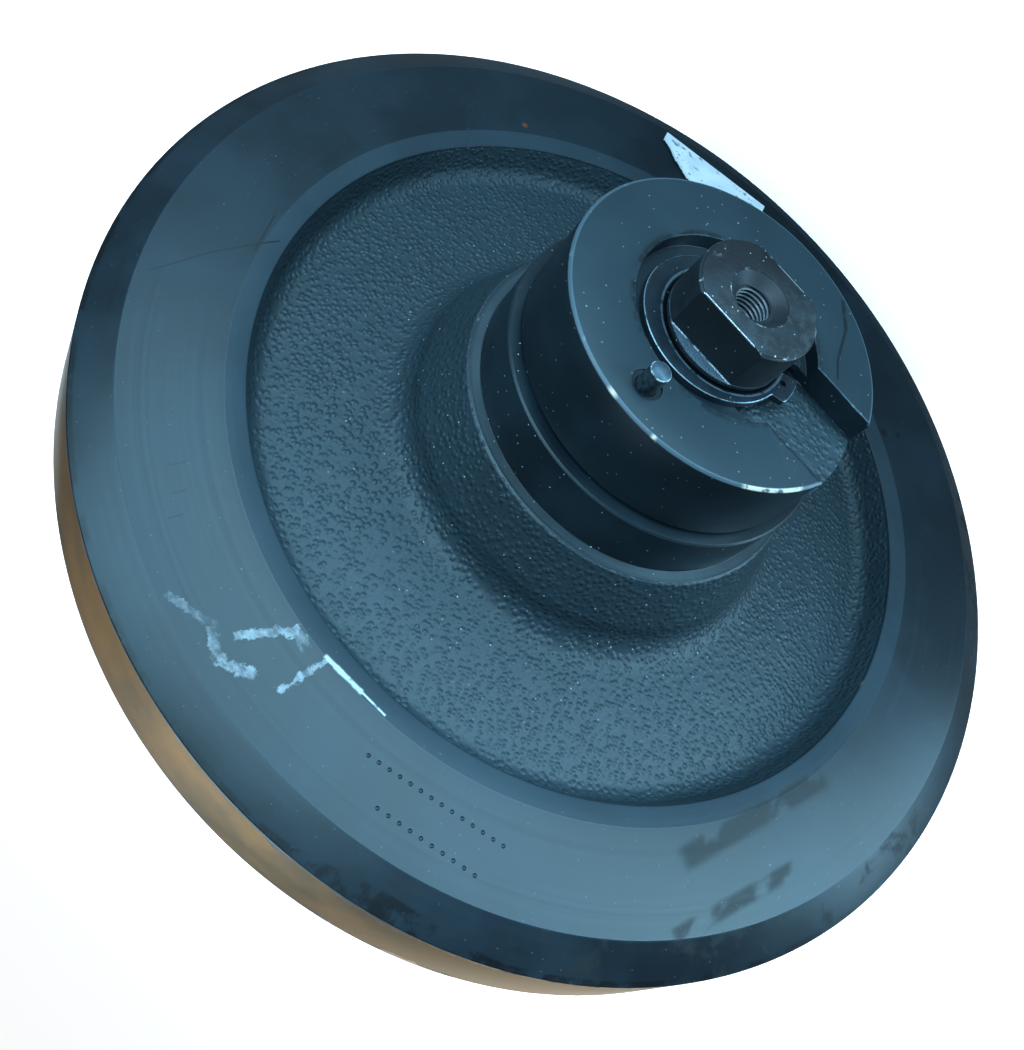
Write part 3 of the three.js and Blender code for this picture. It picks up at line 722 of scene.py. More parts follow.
def wheel_edges(radius, height):
    """A mask of the wheel's turned edges, where paint is knocked off first."""
    shoulder = radius.between(SHOULDER_RADIUS - 0.9, SHOULDER_RADIUS + 0.4, 0.3)
    return strongest([
        radius.at(RECESS_RADIUS, 0.9, 0.2) * height.above(RECESS_EDGE_HALF - 1.2, RECESS_EDGE_HALF - 0.4),
        radius.at(FLAT_RING_OUTER, 0.8, 0.2) * height.above(RIM_HALF - 1.2, RIM_HALF - 0.6),
        radius.at(HUB_RADIUS, 1.3, 0.4) * height.above(hub_half - 1.2, hub_half - 0.6),
        shoulder * height.between(SHOULDER_HALF - 0.9, SHOULDER_HALF + 0.5, 0.3),
        radius.at(tread_radius, 1.0, 0.3) * height.between(TREAD_HALF - 0.8, TREAD_HALF + 0.6, 0.3) * 0.6,
    ])


def wheel_finish():
    """Satin black paint on forged and turned steel, with a bare tread whose brown is a painted warm
    reflection.
    """
    finish = Finish("black_paint_on_wheel", **GLOSS)
    height = abs(finish.y)
    radius = finish.radius
    rough = radius.between(SHOULDER_RADIUS + 0.6, RECESS_RADIUS - 0.6, 0.5)
    rough = rough * height.above(SHOULDER_HALF + 0.2, SHOULDER_HALF - 0.8)
    colour, roughness, relief = paint(finish, rough, seed=3.0)

    # The flat ring and the inner chamfer of the rim are mixed a little lighter.
    flat_ring = radius.between(FLAT_RING_INNER, FLAT_RING_OUTER, 0.3)
    flat_ring = flat_ring * height.above(RIM_HALF - 1, RIM_HALF - 0.4)
    chamfer = radius.between(RECESS_RADIUS + 0.3, FLAT_RING_INNER, 0.3)
    chamfer = chamfer * height.above(RECESS_EDGE_HALF - 0.6, RECESS_EDGE_HALF)
    colour = finish.layers(colour, (flat_ring * 0.25, PAINT_THIN), (chamfer * 0.35, PAINT_PALER))

    # Painted shade darkens the outer chamfer in patches on the +X side, fading towards -X. The scuffs,
    # scratches and smudges are on the right face alone.
    right = finish.y.above(-4, -8)
    scuff, bright, dark, smudges = [mask * right for mask in face_marks(finish)]
    scuff = scuff * flat_ring
    dark_patches = finish.noise(16, detail=4.0, roughness=0.65, seed=7.0).above(0.52, 0.66)
    dark_patches = dark_patches * radius.between(FLAT_RING_OUTER + 0.4, tread_radius, 1.0) * finish.x.above(60, -140)
    roughness = roughness + smudges * 0.2 + dark_patches * 0.25
    colour = finish.layers(
        colour, (dark_patches * 0.8, STAIN_AND_SHADE), (smudges * 0.9, STAIN_AND_SHADE), (dark * 0.85, STAIN_AND_SHADE),
        (scuff * 0.75, SCUFF), (bright * 0.85, SCRATCH), (finish.near(*RUST_SPOT) * right, RUST))

    # Dust lies on the hub and the neck more than on the rim.
    colour = dusted(finish, colour, radius.above(140, 85) * 0.85 + 0.1, seed=11.0)

    # Edges knocked bare: a thin line with gaps, wider in places.
    gaps = finish.noise(14, detail=5.0, roughness=0.75, seed=13.0)
    edges = wheel_edges(radius, height)
    bare = edges * gaps.above(0.62, 0.78) * 0.6
    shoulder = radius.between(HUB_RADIUS + 0.5, SHOULDER_RADIUS + 1.3, 0.4)
    shoulder = shoulder * height.above(SHOULDER_HALF - 1.2, SHOULDER_HALF - 0.3)
    colour = finish.layers(
        colour, (shoulder * (gaps * 0.5 + 0.1), PAINT_RUBBED), (edges * 0.6, PAINT_THIN))

    # The tread: bare steel whose brown colour is a painted warm reflection, with streaks that run round the
    # wheel.
    ragged = finish.noise(11, detail=5.0, roughness=0.7, seed=17.0)
    wander = finish.near((-62, 199), 48)
    dark_band = (radius + wander * 5.0).above(tread_radius - 2.4, tread_radius - 1.4) * ragged.above(0.44, 0.54)
    dark_band = dark_band * height.above(TREAD_HALF - 0.5, TREAD_HALF - 0.1)
    paint_edge = TREAD_HALF - 0.6 - ragged.above(0.4, 0.7) * (2.6 + wander * 8.0)
    tread = radius.above(tread_radius - 0.9, tread_radius - 0.5) * (height - paint_edge).above(0.25, -0.25)
    streaks = finish.rings(finish.y, 1.6, seed=2.0)
    film = finish.noise(30, detail=5.0, roughness=0.65, seed=19.0)
    tread_painted_reflection = finish.mix(film.above(0.3, 0.7), TREAD_REFLECTION_DARK, TREAD_REFLECTION_BROWN)
    tread_painted_reflection = finish.mix(streaks.above(0.5, 0.8) * 0.25, tread_painted_reflection, TREAD_REFLECTION_PALE)
    bare_paint = bare * (1 - tread)
    colour = finish.layers(colour, (dark_band * 0.85, STAIN_AND_SHADE), (tread, tread_painted_reflection), (bare_paint, BARE_STEEL))

    metallic = tread * 0.85 + bare_paint * 0.8
    roughness = roughness * (1 - tread) + tread * (0.36 + film * 0.22) - scuff * 0.04
    relief = relief * (1 - tread) - tread * 0.06 + streaks * tread * 0.01 - bare * 0.05
    return finish.set(colour, roughness, metallic, relief)


WHEEL_FINISH = wheel_finish()
print(WHEEL_FINISH.name, "has", len(WHEEL_FINISH.node_tree.nodes), "nodes")

# %% [markdown]
# ### Collars
# The collars wear the same paint on turned faces. The floor of their slot is as the saw left it, so it is
# rough like the forging. The outer edge has lost its paint in a thin broken line, with cream chips where the
# primer shows, and a lighter line is painted along it and along the slot edges as highlight. Painted shadow
# darkens the recess rim and one edge of the slot in ragged bands, and dark oil has run over the face.

# %% Finish the collars
SLOT_HALF = 20.2
SLOT_DEPTH = 13.0
RECESS_WALL = 39.3
EDGE_CHAMFER = 0.8
OIL_RUN = [
    ((-22.5, -59.6), (-31.5, -48), 1.3),
    ((-31.5, -48), (-37, -32), 0.9),
    ((-37, -32), (-42, -24), 0.8),
]
LONG_CHIP = ((-43, 47.6), (-57.5, 31.5), 3.2)
SMALL_CHIPS = [((10, 65.2), 3.4), ((-10, 64.6), 1.6)]


def collar_finish():
    """The paint on the collars, with its chips."""
    finish = Finish("black_paint_on_collar", **GLOSS)
    height = abs(finish.y)
    radius = finish.radius
    right = finish.y.above(-4, -8)
    face = height.above(collar_face - 0.4, collar_face - 0.15)
    slot_level = collar_face - SLOT_DEPTH
    slot_floor = height.between(slot_level - 1, slot_level + 0.8, 0.4) * finish.x.above(-24, -26)
    slot_floor = slot_floor * abs(finish.z).above(SLOT_HALF + 0.6, SLOT_HALF + 0.1)
    colour, roughness, relief = paint(finish, slot_floor, seed=31.0)
    crumbs = finish.noise(2.0, seed=3.0).above(0.5, 0.75)
    oil = strongest([finish.stroke(*line) for line in OIL_RUN])
    oil = oil * finish.noise(4, detail=4.0, seed=8.0).above(0.34, 0.5) * right * face
    colour = finish.layers(
        colour, (face * 0.5, PAINT_DULL), (slot_floor * crumbs * 0.25, PAINT_DULL), (oil * 0.7, STAIN_AND_SHADE))
    colour = dusted(finish, colour, 0.4, seed=33.0)

    # Painted shadow: a dark ragged band round the recess, and a ragged dark line along one edge of the slot.
    gaps = finish.noise(8, detail=5.0, roughness=0.8, seed=35.0)
    dark_band = radius.at(RECESS_WALL + 0.6, 2.6, 0.4) * gaps.above(0.42, 0.56) * face
    slot_painted_shadow = (finish.z - gaps * 4.0).above(SLOT_HALF - 0.4, SLOT_HALF - 1.2) * finish.x.above(-18, -24)
    slot_painted_shadow = slot_painted_shadow * finish.z.above(SLOT_HALF - 1.5, SLOT_HALF - 0.5) * face * right

    # Chips on the outer edge: a broken bright line everywhere and cream where the primer shows. A lighter
    # line along the rim and the slot edges is painted highlight.
    rim = radius.above(collar_radius - EDGE_CHAMFER - 0.7, collar_radius - EDGE_CHAMFER)
    rim = rim * height.above(collar_face - EDGE_CHAMFER - 0.7, collar_face - EDGE_CHAMFER)
    slot_edge = abs(finish.z).at(SLOT_HALF, 0.8, 0.2) * face * finish.x.above(-20, -22)
    worn = rim * gaps.above(0.58, 0.74) * 0.6 + slot_edge * gaps.above(0.54, 0.64) * 0.5
    chips = strongest([finish.stroke(*LONG_CHIP)] + [finish.near(*chip) for chip in SMALL_CHIPS])
    cream = chips * rim * finish.noise(3, detail=4.0, seed=37.0).above(0.36, 0.5) * right
    colour = finish.layers(
        colour, (rim.most(slot_edge) * 0.5, PAINT_EDGE_HIGHLIGHT), (dark_band.most(slot_painted_shadow) * 0.8, STAIN_AND_SHADE),
        (worn, BARE_STEEL), (cream, CHIP_CREAM))
    return finish.set(colour, roughness, worn * (1 - cream) * 0.8, relief - worn * 0.04)


COLLAR_FINISH = collar_finish()
print(COLLAR_FINISH.name, "has", len(COLLAR_FINISH.node_tree.nodes), "nodes")

# %% [markdown]
# ## Steels
# Three kinds of bare steel show. The shaft was turned and has gone dull under a film of old oil, so its end
# is mottled and its edges are bright where it has slid. The snap rings are blued spring steel, darker and
# smoother. The pins are painted over, with the paint worn from their crowns.

# %% Finish the shaft
FLAT_HALF = 20.0
SHAFT_END_RADIUS = 25.0
FLATS_FROM = 113.5
SINK_RADIUS = 12.2
SINK_DEPTH = 4.0
THREAD_CREST = 6.9


def shaft_finish():
    """Turned steel under a dull dark film, bright along its edges."""
    finish = Finish("dull_turned_steel", specular_ior_level=0.5)
    height = abs(finish.y)
    radius = finish.radius
    mottle = finish.noise(4.5, detail=5.0, roughness=0.68, seed=41.0)
    clouds = finish.noise(14, detail=3.0, seed=42.0)
    pits = finish.noise(0.9, detail=2.0, seed=43.0)
    end_face = height.above(shaft_half - 0.25, shaft_half - 0.1)
    ledge = height.between(FLATS_FROM - 0.3, FLATS_FROM + 0.25, 0.15)
    dull = end_face.most(ledge)
    # Painted shade: the end face is darker towards +X and -Z.
    end_painted_shade = (finish.x + finish.z * -0.6 + mottle * 30).above(16, 34)
    from_flat = abs(abs(finish.z) - FLAT_HALF)
    flats = from_flat.above(0.2, 0.05) * height.above(FLATS_FROM - 0.1, FLATS_FROM)
    crests = radius.above(THREAD_CREST + 0.6, THREAD_CREST + 0.05)
    crests = crests * height.above(shaft_half - SINK_DEPTH, shaft_half - SINK_DEPTH - 1.5)
    colour = finish.mix(clouds.above(0.35, 0.7), shade(30, 36, 40), shade(44, 54, 60))
    colour = finish.layers(
        colour,
        (dull * mottle.above(0.45, 0.7) * 0.7, shade(62, 71, 73)),
        (dull * mottle.above(0.4, 0.3) * 0.8, shade(26, 34, 40)),
        (ledge * (mottle * 0.7 + 0.35), shade(92, 116, 130)),
        (end_face * end_painted_shade, shade(22, 26, 30)),
        (flats * 0.8, shade(30, 38, 42)),
        (crests * 0.6, shade(150, 160, 166)))

    # Edges that have rubbed: the rim of the end, the long edges of the flats and the mouth of the hole.
    rub = finish.noise(6, detail=4.0, roughness=0.7, seed=45.0)
    rim = radius.above(SHAFT_END_RADIUS - 1.5, SHAFT_END_RADIUS - 0.9)
    rim = rim * height.above(shaft_half - 1.4, shaft_half - 0.8)
    mouth = radius.at(SINK_RADIUS, 0.7, 0.2) * height.above(shaft_half - 0.8, shaft_half - 0.4)
    worn = strongest([
        rim * rub.above(0.56, 0.7),
        from_flat.above(0.55, 0.2) * height.above(shaft_half - 0.5, shaft_half - 0.3) * rub.above(0.4, 0.5),
        mouth * rub.above(0.56, 0.7),
        from_flat.above(0.5, 0.15) * ledge * rub.above(0.4, 0.5),
        finish.near((26, -1), 7) * end_face.most(rim) * mottle.above(0.52, 0.6),
    ])
    colour = finish.mix(worn, colour, shade(206, 216, 222))
    colour = dusted(finish, colour, 0.9, seed=47.0)
    roughness = 0.4 + mottle * 0.2 - worn * 0.15 + dull * 0.08
    turning = finish.rings(finish.y, 0.4, seed=1.0) * (1 - dull) * 0.006
    relief = dull * (pits * 0.15 + mottle * 0.35) + pits * ledge * 0.5 + turning
    return finish.set(colour, roughness, 0.35 + worn * 0.55, relief)


SHAFT_FINISH = shaft_finish()
print(SHAFT_FINISH.name, "has", len(SHAFT_FINISH.node_tree.nodes), "nodes")

# %% [markdown]
# ### Small metal pieces and rubber
# The snap rings are dark, with a rubbed bevel and a rolled inner edge that carries a band of painted shade
# and a thin painted highlight. Bushings, seals, washer and plug are plain metals that differ only in tone
# and roughness, so one function mixes them all.

# %% Finish the snap rings, pins and the small inner pieces
def plain_metal(name, dark, light, roughness, metallic, seed):
    """A metal that is cloudy between two tones, with fine turning marks."""
    finish = Finish(name, specular_ior_level=0.5)
    clouds = finish.noise(5.0, detail=4.0, roughness=0.6, seed=seed)
    lines = finish.rings(finish.radius, 0.35, seed=seed) + finish.rings(finish.y, 0.35, seed=seed + 1)
    colour = finish.mix(clouds.above(0.32, 0.68), dark, light)
    return finish.set(colour, roughness + clouds * 0.12, metallic, lines * 0.01)


def snap_ring_finish():
    """Blued spring steel whose outer bevel has rubbed bright, with painted shade and a painted highlight on
    its inner edge.
    """
    finish = Finish("blued_spring_steel", specular_ior_level=0.5)
    clouds = finish.noise(6, detail=4.0, roughness=0.65, seed=51.0)
    colour = finish.mix(clouds.above(0.3, 0.8), shade(30, 40, 47), shade(40, 54, 63))
    height = abs(finish.y)
    edge = height.above(snap_top - 0.42, snap_top - 0.2) * height.above(snap_top - 0.02, snap_top - 0.1)
    rub = finish.noise(5, detail=4.0, roughness=0.7, seed=52.0).above(0.36, 0.5)
    # Painted shade on the rolled inner edge, with a thin painted highlight along it.
    inner_band_painted_shade = finish.radius.above(26.9, 26.2) * height.above(snap_top - 1.4, snap_top - 1.2)
    inner_line_painted_highlight = finish.radius.at(27.0, 0.35, 0.1) * height.above(snap_top - 0.3, snap_top - 0.1)
    colour = finish.layers(
        colour, (edge * rub * 0.8, shade(150, 176, 190)), (inner_band_painted_shade * 0.85, STAIN_AND_SHADE),
        (inner_line_painted_highlight * rub * 0.6, shade(120, 146, 160)))
    colour = dusted(finish, colour, 0.5, seed=53.0)
    return finish.set(colour, 0.3 + clouds * 0.1, 0.4, clouds * 0.02)


def pin_finish():
    """Painted dowel steel with a worn crown and a bright rim."""
    finish = Finish("painted_dowel_steel", specular_ior_level=0.45)
    height = abs(finish.y)
    clouds = finish.noise(2.5, detail=4.0, roughness=0.65, seed=55.0)
    crown = height.above(collar_face + 8.9, collar_face + 9.2)
    colour = finish.mix(clouds.above(0.35, 0.65), PAINT_DEEP, PAINT_DULL)
    colour = finish.mix(crown * (clouds * 0.5 + 0.3), colour, shade(84, 106, 118))
    rim = height.between(collar_face + 8.7, collar_face + 9.1, 0.15)
    colour = finish.mix(rim * clouds.above(0.4, 0.55) * 0.8, colour, shade(190, 206, 214))
    return finish.set(colour, 0.36 + clouds * 0.15, crown * 0.5, clouds * 0.05)


def rubber_finish():
    """Matt black nitrile rubber with a faint bloom."""
    finish = Finish("black_nitrile_rubber", specular_ior_level=0.3)
    bloom = finish.noise(7, detail=4.0, seed=57.0)
    colour = finish.mix(bloom.above(0.4, 0.75), shade(22, 22, 23), shade(48, 48, 50))
    return finish.set(colour, 0.68 + bloom * 0.15, 0.0, finish.noise(0.6, seed=58.0) * 0.02)


SNAP_RING_FINISH = snap_ring_finish()
PIN_FINISH = pin_finish()
RUBBER_FINISH = rubber_finish()
SEAL_FINISH = plain_metal("lapped_seal_iron", shade(96, 98, 100), shade(140, 142, 144), 0.2, 0.9, 61.0)
BRONZE_FINISH = plain_metal("sintered_bronze", shade(142, 104, 58), shade(186, 144, 88), 0.34, 0.9, 63.0)
COPPER_FINISH = plain_metal("soft_copper", shade(150, 88, 58), shade(196, 124, 88), 0.3, 0.95, 65.0)
PLUG_FINISH = plain_metal("zinc_plated_steel", shade(120, 126, 132), shade(160, 166, 170), 0.3, 0.85, 67.0)
print("steels, rubber and bronze are mixed")


# %% [markdown]
# ## The forged wheel
# Hub, web, rim and tread are one forging, turned where it matters. The section follows the frame's, with
# real fillets where the neck runs into the web. Its rough stretches are divided finely, so that the lathe
# can push them in and out by a few tenths of a millimetre, which no fine grain in the finish would do.

# %% Turn the wheel
WEB_HALF_AT_HUB = 11.5
WEB_HALF_AT_RIM = 7.5
NECK_FOOT = (85.0, 26.0)
SEAL_CHAMBER = 57.0
CHAMBER_FLOOR = 62.9
FLANGE_SEAT = 44.3
HUB_BORE = 35.3
HUB_BORE_HALF = 56.0
OIL_SPACE = (38.0, 18.0)


def wheel_section():
    """The whole section of the wheel, from the oil space out to the tread and back."""
    half = [
        (*OIL_SPACE, 0),
        (HUB_BORE, OIL_SPACE[1], 0),
        (HUB_BORE, HUB_BORE_HALF, 0),
        (FLANGE_SEAT, HUB_BORE_HALF, 0),
        (FLANGE_SEAT, CHAMBER_FLOOR, 0.4),
        (SEAL_CHAMBER, CHAMBER_FLOOR, 0.8),
        (SEAL_CHAMBER, hub_half - 1.5, 0),
        (SEAL_CHAMBER + 1.5, hub_half, 0.2),
        (HUB_RADIUS - 0.8, hub_half, 0.2),
        (HUB_RADIUS, hub_half - 0.8, 0.2),
        (HUB_RADIUS, SHOULDER_HALF, 0.3),
        (SHOULDER_RADIUS, SHOULDER_HALF, 0.35),
        (SHOULDER_RADIUS + 1, SHOULDER_HALF - 1, 0.6),
        (*NECK_FOOT, 16),
        (NECK_FOOT[0] + 2, WEB_HALF_AT_HUB, 13),
        (RECESS_RADIUS - 4.5, WEB_HALF_AT_RIM, 8),
        (RECESS_RADIUS, RECESS_EDGE_HALF, 0.5),
        (FLAT_RING_INNER, RIM_HALF, 0.4),
        (FLAT_RING_OUTER, RIM_HALF, 0.5),
        (tread_radius, TREAD_HALF, 0.7),
    ]
    mirrored = [(radius, -height, rounding) for radius, height, rounding in reversed(half)]
    return half + mirrored


def is_forged(radius, height):
    """1 where the wheel was left as forged, 0 on its turned faces and bores."""
    inside = SHOULDER_RADIUS + 1.2 < radius < RECESS_RADIUS - 0.8
    return 1.0 if inside and height < SHOULDER_HALF - 0.8 else 0.0


WHEEL_STEPS = 288
FORGED_GRID = 3.0
rounded = outline(wheel_section())
wheel_outline = divided(rounded, FORGED_GRID, lambda middle: is_forged(middle.x, abs(middle.y)))
wheel = turned("forged_wheel", wheel_outline, WHEEL_STEPS, WHEEL_FINISH, rough=is_forged,
               unevenness=0.9, patch_size=16.0, seed=5.0)
print("wheel section has", len(wheel_outline), "points")

# %% [markdown]
# ### Filler bore and punch marks
# The oil filler bore runs at a slope into the hidden side of the hub. On the rim, makers punch a number;
# here it is a plain double row of punch dots, which says nothing. The dots repeat along two lines, so a
# Geometry Nodes tree places the punch points and the wheel is cut with them.

# %% Drill and punch the wheel
FILLER_SLOPE = 30.0
FILLER_TURN = 35.0
FILLER_START = (38.0, 4.0)
FILLER_BORE = 6.3
FILLER_SEAT = 47.0
FILLER_SEAT_RADIUS = 12.0
FILLER_BORE_BEHIND = 6.0
FILLER_BORE_BEYOND = 40.0
PUNCH_RADIUS = 0.9
PUNCH_DEPTH = 0.5
PUNCH_ROWS = [((-24, 170.5), (-77, 157), 14), ((-38, 180), (-76, 171), 10)]


def filler_place():
    """Where the filler bore starts, with its Y axis along the bore."""
    lean = Matrix.Rotation(math.radians(FILLER_SLOPE - 90), 4, "Z")
    from_axis = Matrix.Translation((FILLER_START[0] * MM, FILLER_START[1] * MM, 0))
    return Matrix.Rotation(math.radians(FILLER_TURN), 4, "Y") @ from_axis @ lean


def punch_tree():
    """A row of punch points along a line: one small ball at each of a number of equal steps."""
    tree = new_tree("punch row", {
        "Dots": ("Int", 10),
        "Start": ("Vector", (0, 0, 0)),
        "Step": ("Vector", (0.005, 0, 0)),
        "Radius": ("Float", 0.001),
        "Material": ("Material", None),
    })
    graph = Graph(tree)
    given = graph.node("NodeGroupInput")
    row = graph.node("GeometryNodeMeshLine", None, {
        "Count": given["Dots"], "Start Location": given["Start"], "Offset": given["Step"]})["Mesh"]
    point = graph.node("GeometryNodeMeshUVSphere", None, {
        "Segments": 12, "Rings": 8, "Radius": given["Radius"]})["Mesh"]
    placed = graph.node("GeometryNodeInstanceOnPoints", None, {
        "Points": row, "Instance": point})["Instances"]
    end_tree(graph, placed, given["Material"])
    return tree


def punch_row(first, last, dots):
    """A cutter for one row of dots on the right face, from one (x, z) to another."""
    level = -(RIM_HALF + PUNCH_RADIUS - PUNCH_DEPTH)
    begin = Vector((first[0], level, first[1])) * MM
    step = (Vector((last[0], level, last[1])) * MM - begin) / (dots - 1)
    seedling = bpy.data.meshes.new("punch")
    inputs = {"Dots": dots, "Start": begin, "Step": step, "Radius": PUNCH_RADIUS * MM}
    return run_tree(PUNCH_ROW, seedling, {**inputs, "Material": WHEEL_FINISH}, "punch")


PUNCH_ROW = punch_tree()
bore_points = [
    (0, -FILLER_BORE_BEHIND),
    (FILLER_BORE, -FILLER_BORE_BEHIND),
    (FILLER_BORE, FILLER_SEAT),
    (FILLER_SEAT_RADIUS, FILLER_SEAT),
    (FILLER_SEAT_RADIUS, FILLER_SEAT + FILLER_BORE_BEYOND),
    (0, FILLER_SEAT + FILLER_BORE_BEYOND),
]
bore = turned("bore", bore_points, 48, WHEEL_FINISH, closed=False)
bore.data.transform(filler_place())
rows = [punch_row(*row) for row in PUNCH_ROWS]
cut(wheel, bore, *rows)
stands_for(wheel, "idler_wheel", TURNING)

# %% [markdown]
# ## Shaft
# The shaft is turned, then two flats are milled on each end, and an M16 thread with a 2 mm pitch is cut in
# each end's hole. The thread is a real helix: a Geometry Nodes tree bends the wall of a long cylinder in and
# out with the angle and the height, and that shape cuts the hole as a tap would.

# %% Make the tap
THREAD_PITCH = 2.0
THREAD_ROOT = 8.2
HOLE_DEPTH = 38.0
TAP_SIDES = 40
TAP_RINGS_PER_TURN = 8


def tap_tree():
    """Bends a round bar along Z into a screw thread."""
    tree = new_tree("tap", {
        "Pitch": ("Float", THREAD_PITCH * MM),
        "Crest": ("Float", THREAD_CREST * MM),
        "Root": ("Float", THREAD_ROOT * MM),
        "Length": ("Float", HOLE_DEPTH * MM),
        "Rings": ("Int", 100),
        "Material": ("Material", None),
    })
    graph = Graph(tree)
    given = graph.node("NodeGroupInput")
    bar = graph.node("GeometryNodeMeshCylinder", {"fill_type": "NGON"}, {
        "Vertices": TAP_SIDES, "Side Segments": given["Rings"], "Radius": 1.0,
        "Depth": given["Length"]})["Mesh"]
    position = graph.node("GeometryNodeInputPosition")["Position"]
    place = graph.node("ShaderNodeSeparateXYZ", None, {"Vector": position})
    turns = place["X"].maths("ARCTAN2", place["X"], place["Y"]) / math.tau
    phase = place["Z"] / given["Pitch"] + turns
    wave = phase.maths("PINGPONG", phase, 0.5) * 2
    radius = given["Crest"] + (given["Root"] - given["Crest"]) * wave.above(0.1, 0.9)
    bent = graph.node("ShaderNodeCombineXYZ", None, {
        "X": place["X"] * radius, "Y": place["Y"] * radius, "Z": place["Z"]})["Vector"]
    threaded = graph.node("GeometryNodeSetPosition", None, {"Geometry": bar, "Position": bent})["Geometry"]
    end_tree(graph, threaded, given["Material"])
    return tree


TAP = tap_tree()
print("tap tree has", len(TAP.nodes), "nodes")


def tap(end):
    """The tap in place at one end of the shaft: 1 is the left end and -1 the right."""
    top = shaft_half - SINK_DEPTH + 0.4
    length = top - (shaft_half - HOLE_DEPTH)
    rings = round(length / THREAD_PITCH * TAP_RINGS_PER_TURN)
    seedling = bpy.data.meshes.new("tap")
    cutter = run_tree(TAP, seedling, {
        "Pitch": THREAD_PITCH * MM, "Crest": THREAD_CREST * MM, "Root": THREAD_ROOT * MM,
        "Length": length * MM, "Rings": rings, "Material": SHAFT_FINISH}, "tap")
    middle = end * (top - length / 2) * MM
    cutter.data.transform(Matrix.Translation((0, middle, 0)) @ Matrix.Rotation(math.pi / 2, 4, "X"))
    return cutter


# %% Turn, mill and tap the shaft
GROOVE_RADIUS = 23.5
SHAFT_SHOULDER = 61.6
GROOVE_FROM = 107.9
GROOVE_TO = 111.5
FLAT_BEVEL = 0.3


def shaft_section():
    """The shaft's section from the middle of one countersink to the middle of the other."""
    half = [
        (shaft_middle_radius, SHAFT_SHOULDER - 1, 0.3),
        (shaft_middle_radius - 1, SHAFT_SHOULDER, 0.3),
        (SHAFT_END_RADIUS, SHAFT_SHOULDER, 0),
        (SHAFT_END_RADIUS, GROOVE_FROM, 0.15),
        (GROOVE_RADIUS, GROOVE_FROM, 0),
        (GROOVE_RADIUS, GROOVE_TO, 0),
        (SHAFT_END_RADIUS, GROOVE_TO, 0.2),
        (SHAFT_END_RADIUS, shaft_half - 1, 0.3),
        (SHAFT_END_RADIUS - 1, shaft_half, 0.3),
        (SINK_RADIUS, shaft_half, 0.2),
        (THREAD_ROOT, shaft_half - SINK_DEPTH, 0),
        (0, shaft_half - SINK_DEPTH, 0),
    ]
    mirrored = [(radius, -height, rounding) for radius, height, rounding in reversed(half)]
    return mirrored + half


shaft = turned("turned_shaft", outline(shaft_section(), closed=False), 144, SHAFT_FINISH, closed=False)
flats = []
for end in (1, -1):
    levels = sorted((end * FLATS_FROM, end * (shaft_half + 5)))
    for top in (1, -1):
        across = sorted((top * FLAT_HALF, top * (SHAFT_END_RADIUS + 5)))
        flats.append(box_cutter((-30, levels[0], across[0]), (30, levels[1], across[1])))
cut(shaft, *flats)
bevel = shaft.modifiers.new("worn edges", "BEVEL")
bevel.width = FLAT_BEVEL * MM
bevel.segments = 2
bevel.limit_method = "ANGLE"
bevel.angle_limit = math.radians(40)
bevel.use_clamp_overlap = True
settled(shaft)
cut(shaft, tap(1), tap(-1))
stands_for(shaft, "shaft", FIXED)

# %% [markdown]
# ## Collars
# A collar covers the seal at each end of the hub. Its outer face carries a radial slot for the key of the
# machine's bracket. The slot was not milled clean: its walls wander a little and its floor is rough, so the
# cutter is a block whose faces are divided and pushed about by noise before it cuts.

# %% Turn and slot the collars
COLLAR_BORE = 25.3
COLLAR_NOSE_RADIUS = 38.5
COLLAR_CHAMBER = 90.2
COLLAR_INNER = 77.7
RECESS_FLOOR = 107.9
O_RING_GROOVE = (28.6, 98.1, 1.8)
PIN_AT = (4.2, -51.0)
PIN_RADIUS = 4.0
PIN_FOOT = 97.9
PIN_SINK = (6.0, 0.8)
FIT_GAP = 0.3
SLOT_GRID = 1.5
SLOT_WANDER = 0.35
RECESS_STEP = ((-29.5, -2.2, -25.5), (-18, 3, -18))


def collar_section():
    """The collar's section, from the nose round the seal chamber and the outer face to the bore."""
    groove_radius, groove_middle, groove_half = O_RING_GROOVE
    return [
        (COLLAR_BORE, collar_nose, 0.4),
        (COLLAR_NOSE_RADIUS, collar_nose, 0.8),
        (COLLAR_NOSE_RADIUS, COLLAR_CHAMBER, 1),
        (SEAL_CHAMBER, COLLAR_CHAMBER, 0.8),
        (SEAL_CHAMBER, COLLAR_INNER + 1.5, 0),
        (SEAL_CHAMBER + 1.5, COLLAR_INNER, 0.2),
        (collar_radius, COLLAR_INNER, 0.5),
        (collar_radius, collar_face - EDGE_CHAMFER, 0.25),
        (collar_radius - EDGE_CHAMFER, collar_face, 0.25),
        (RECESS_WALL, collar_face, 0.5),
        (RECESS_WALL, RECESS_FLOOR, 0.4),
        (COLLAR_BORE, RECESS_FLOOR, 0.3),
        (COLLAR_BORE, groove_middle + groove_half, 0),
        (groove_radius, groove_middle + groove_half, 0),
        (groove_radius, groove_middle - groove_half, 0),
        (COLLAR_BORE, groove_middle - groove_half, 0),
    ]


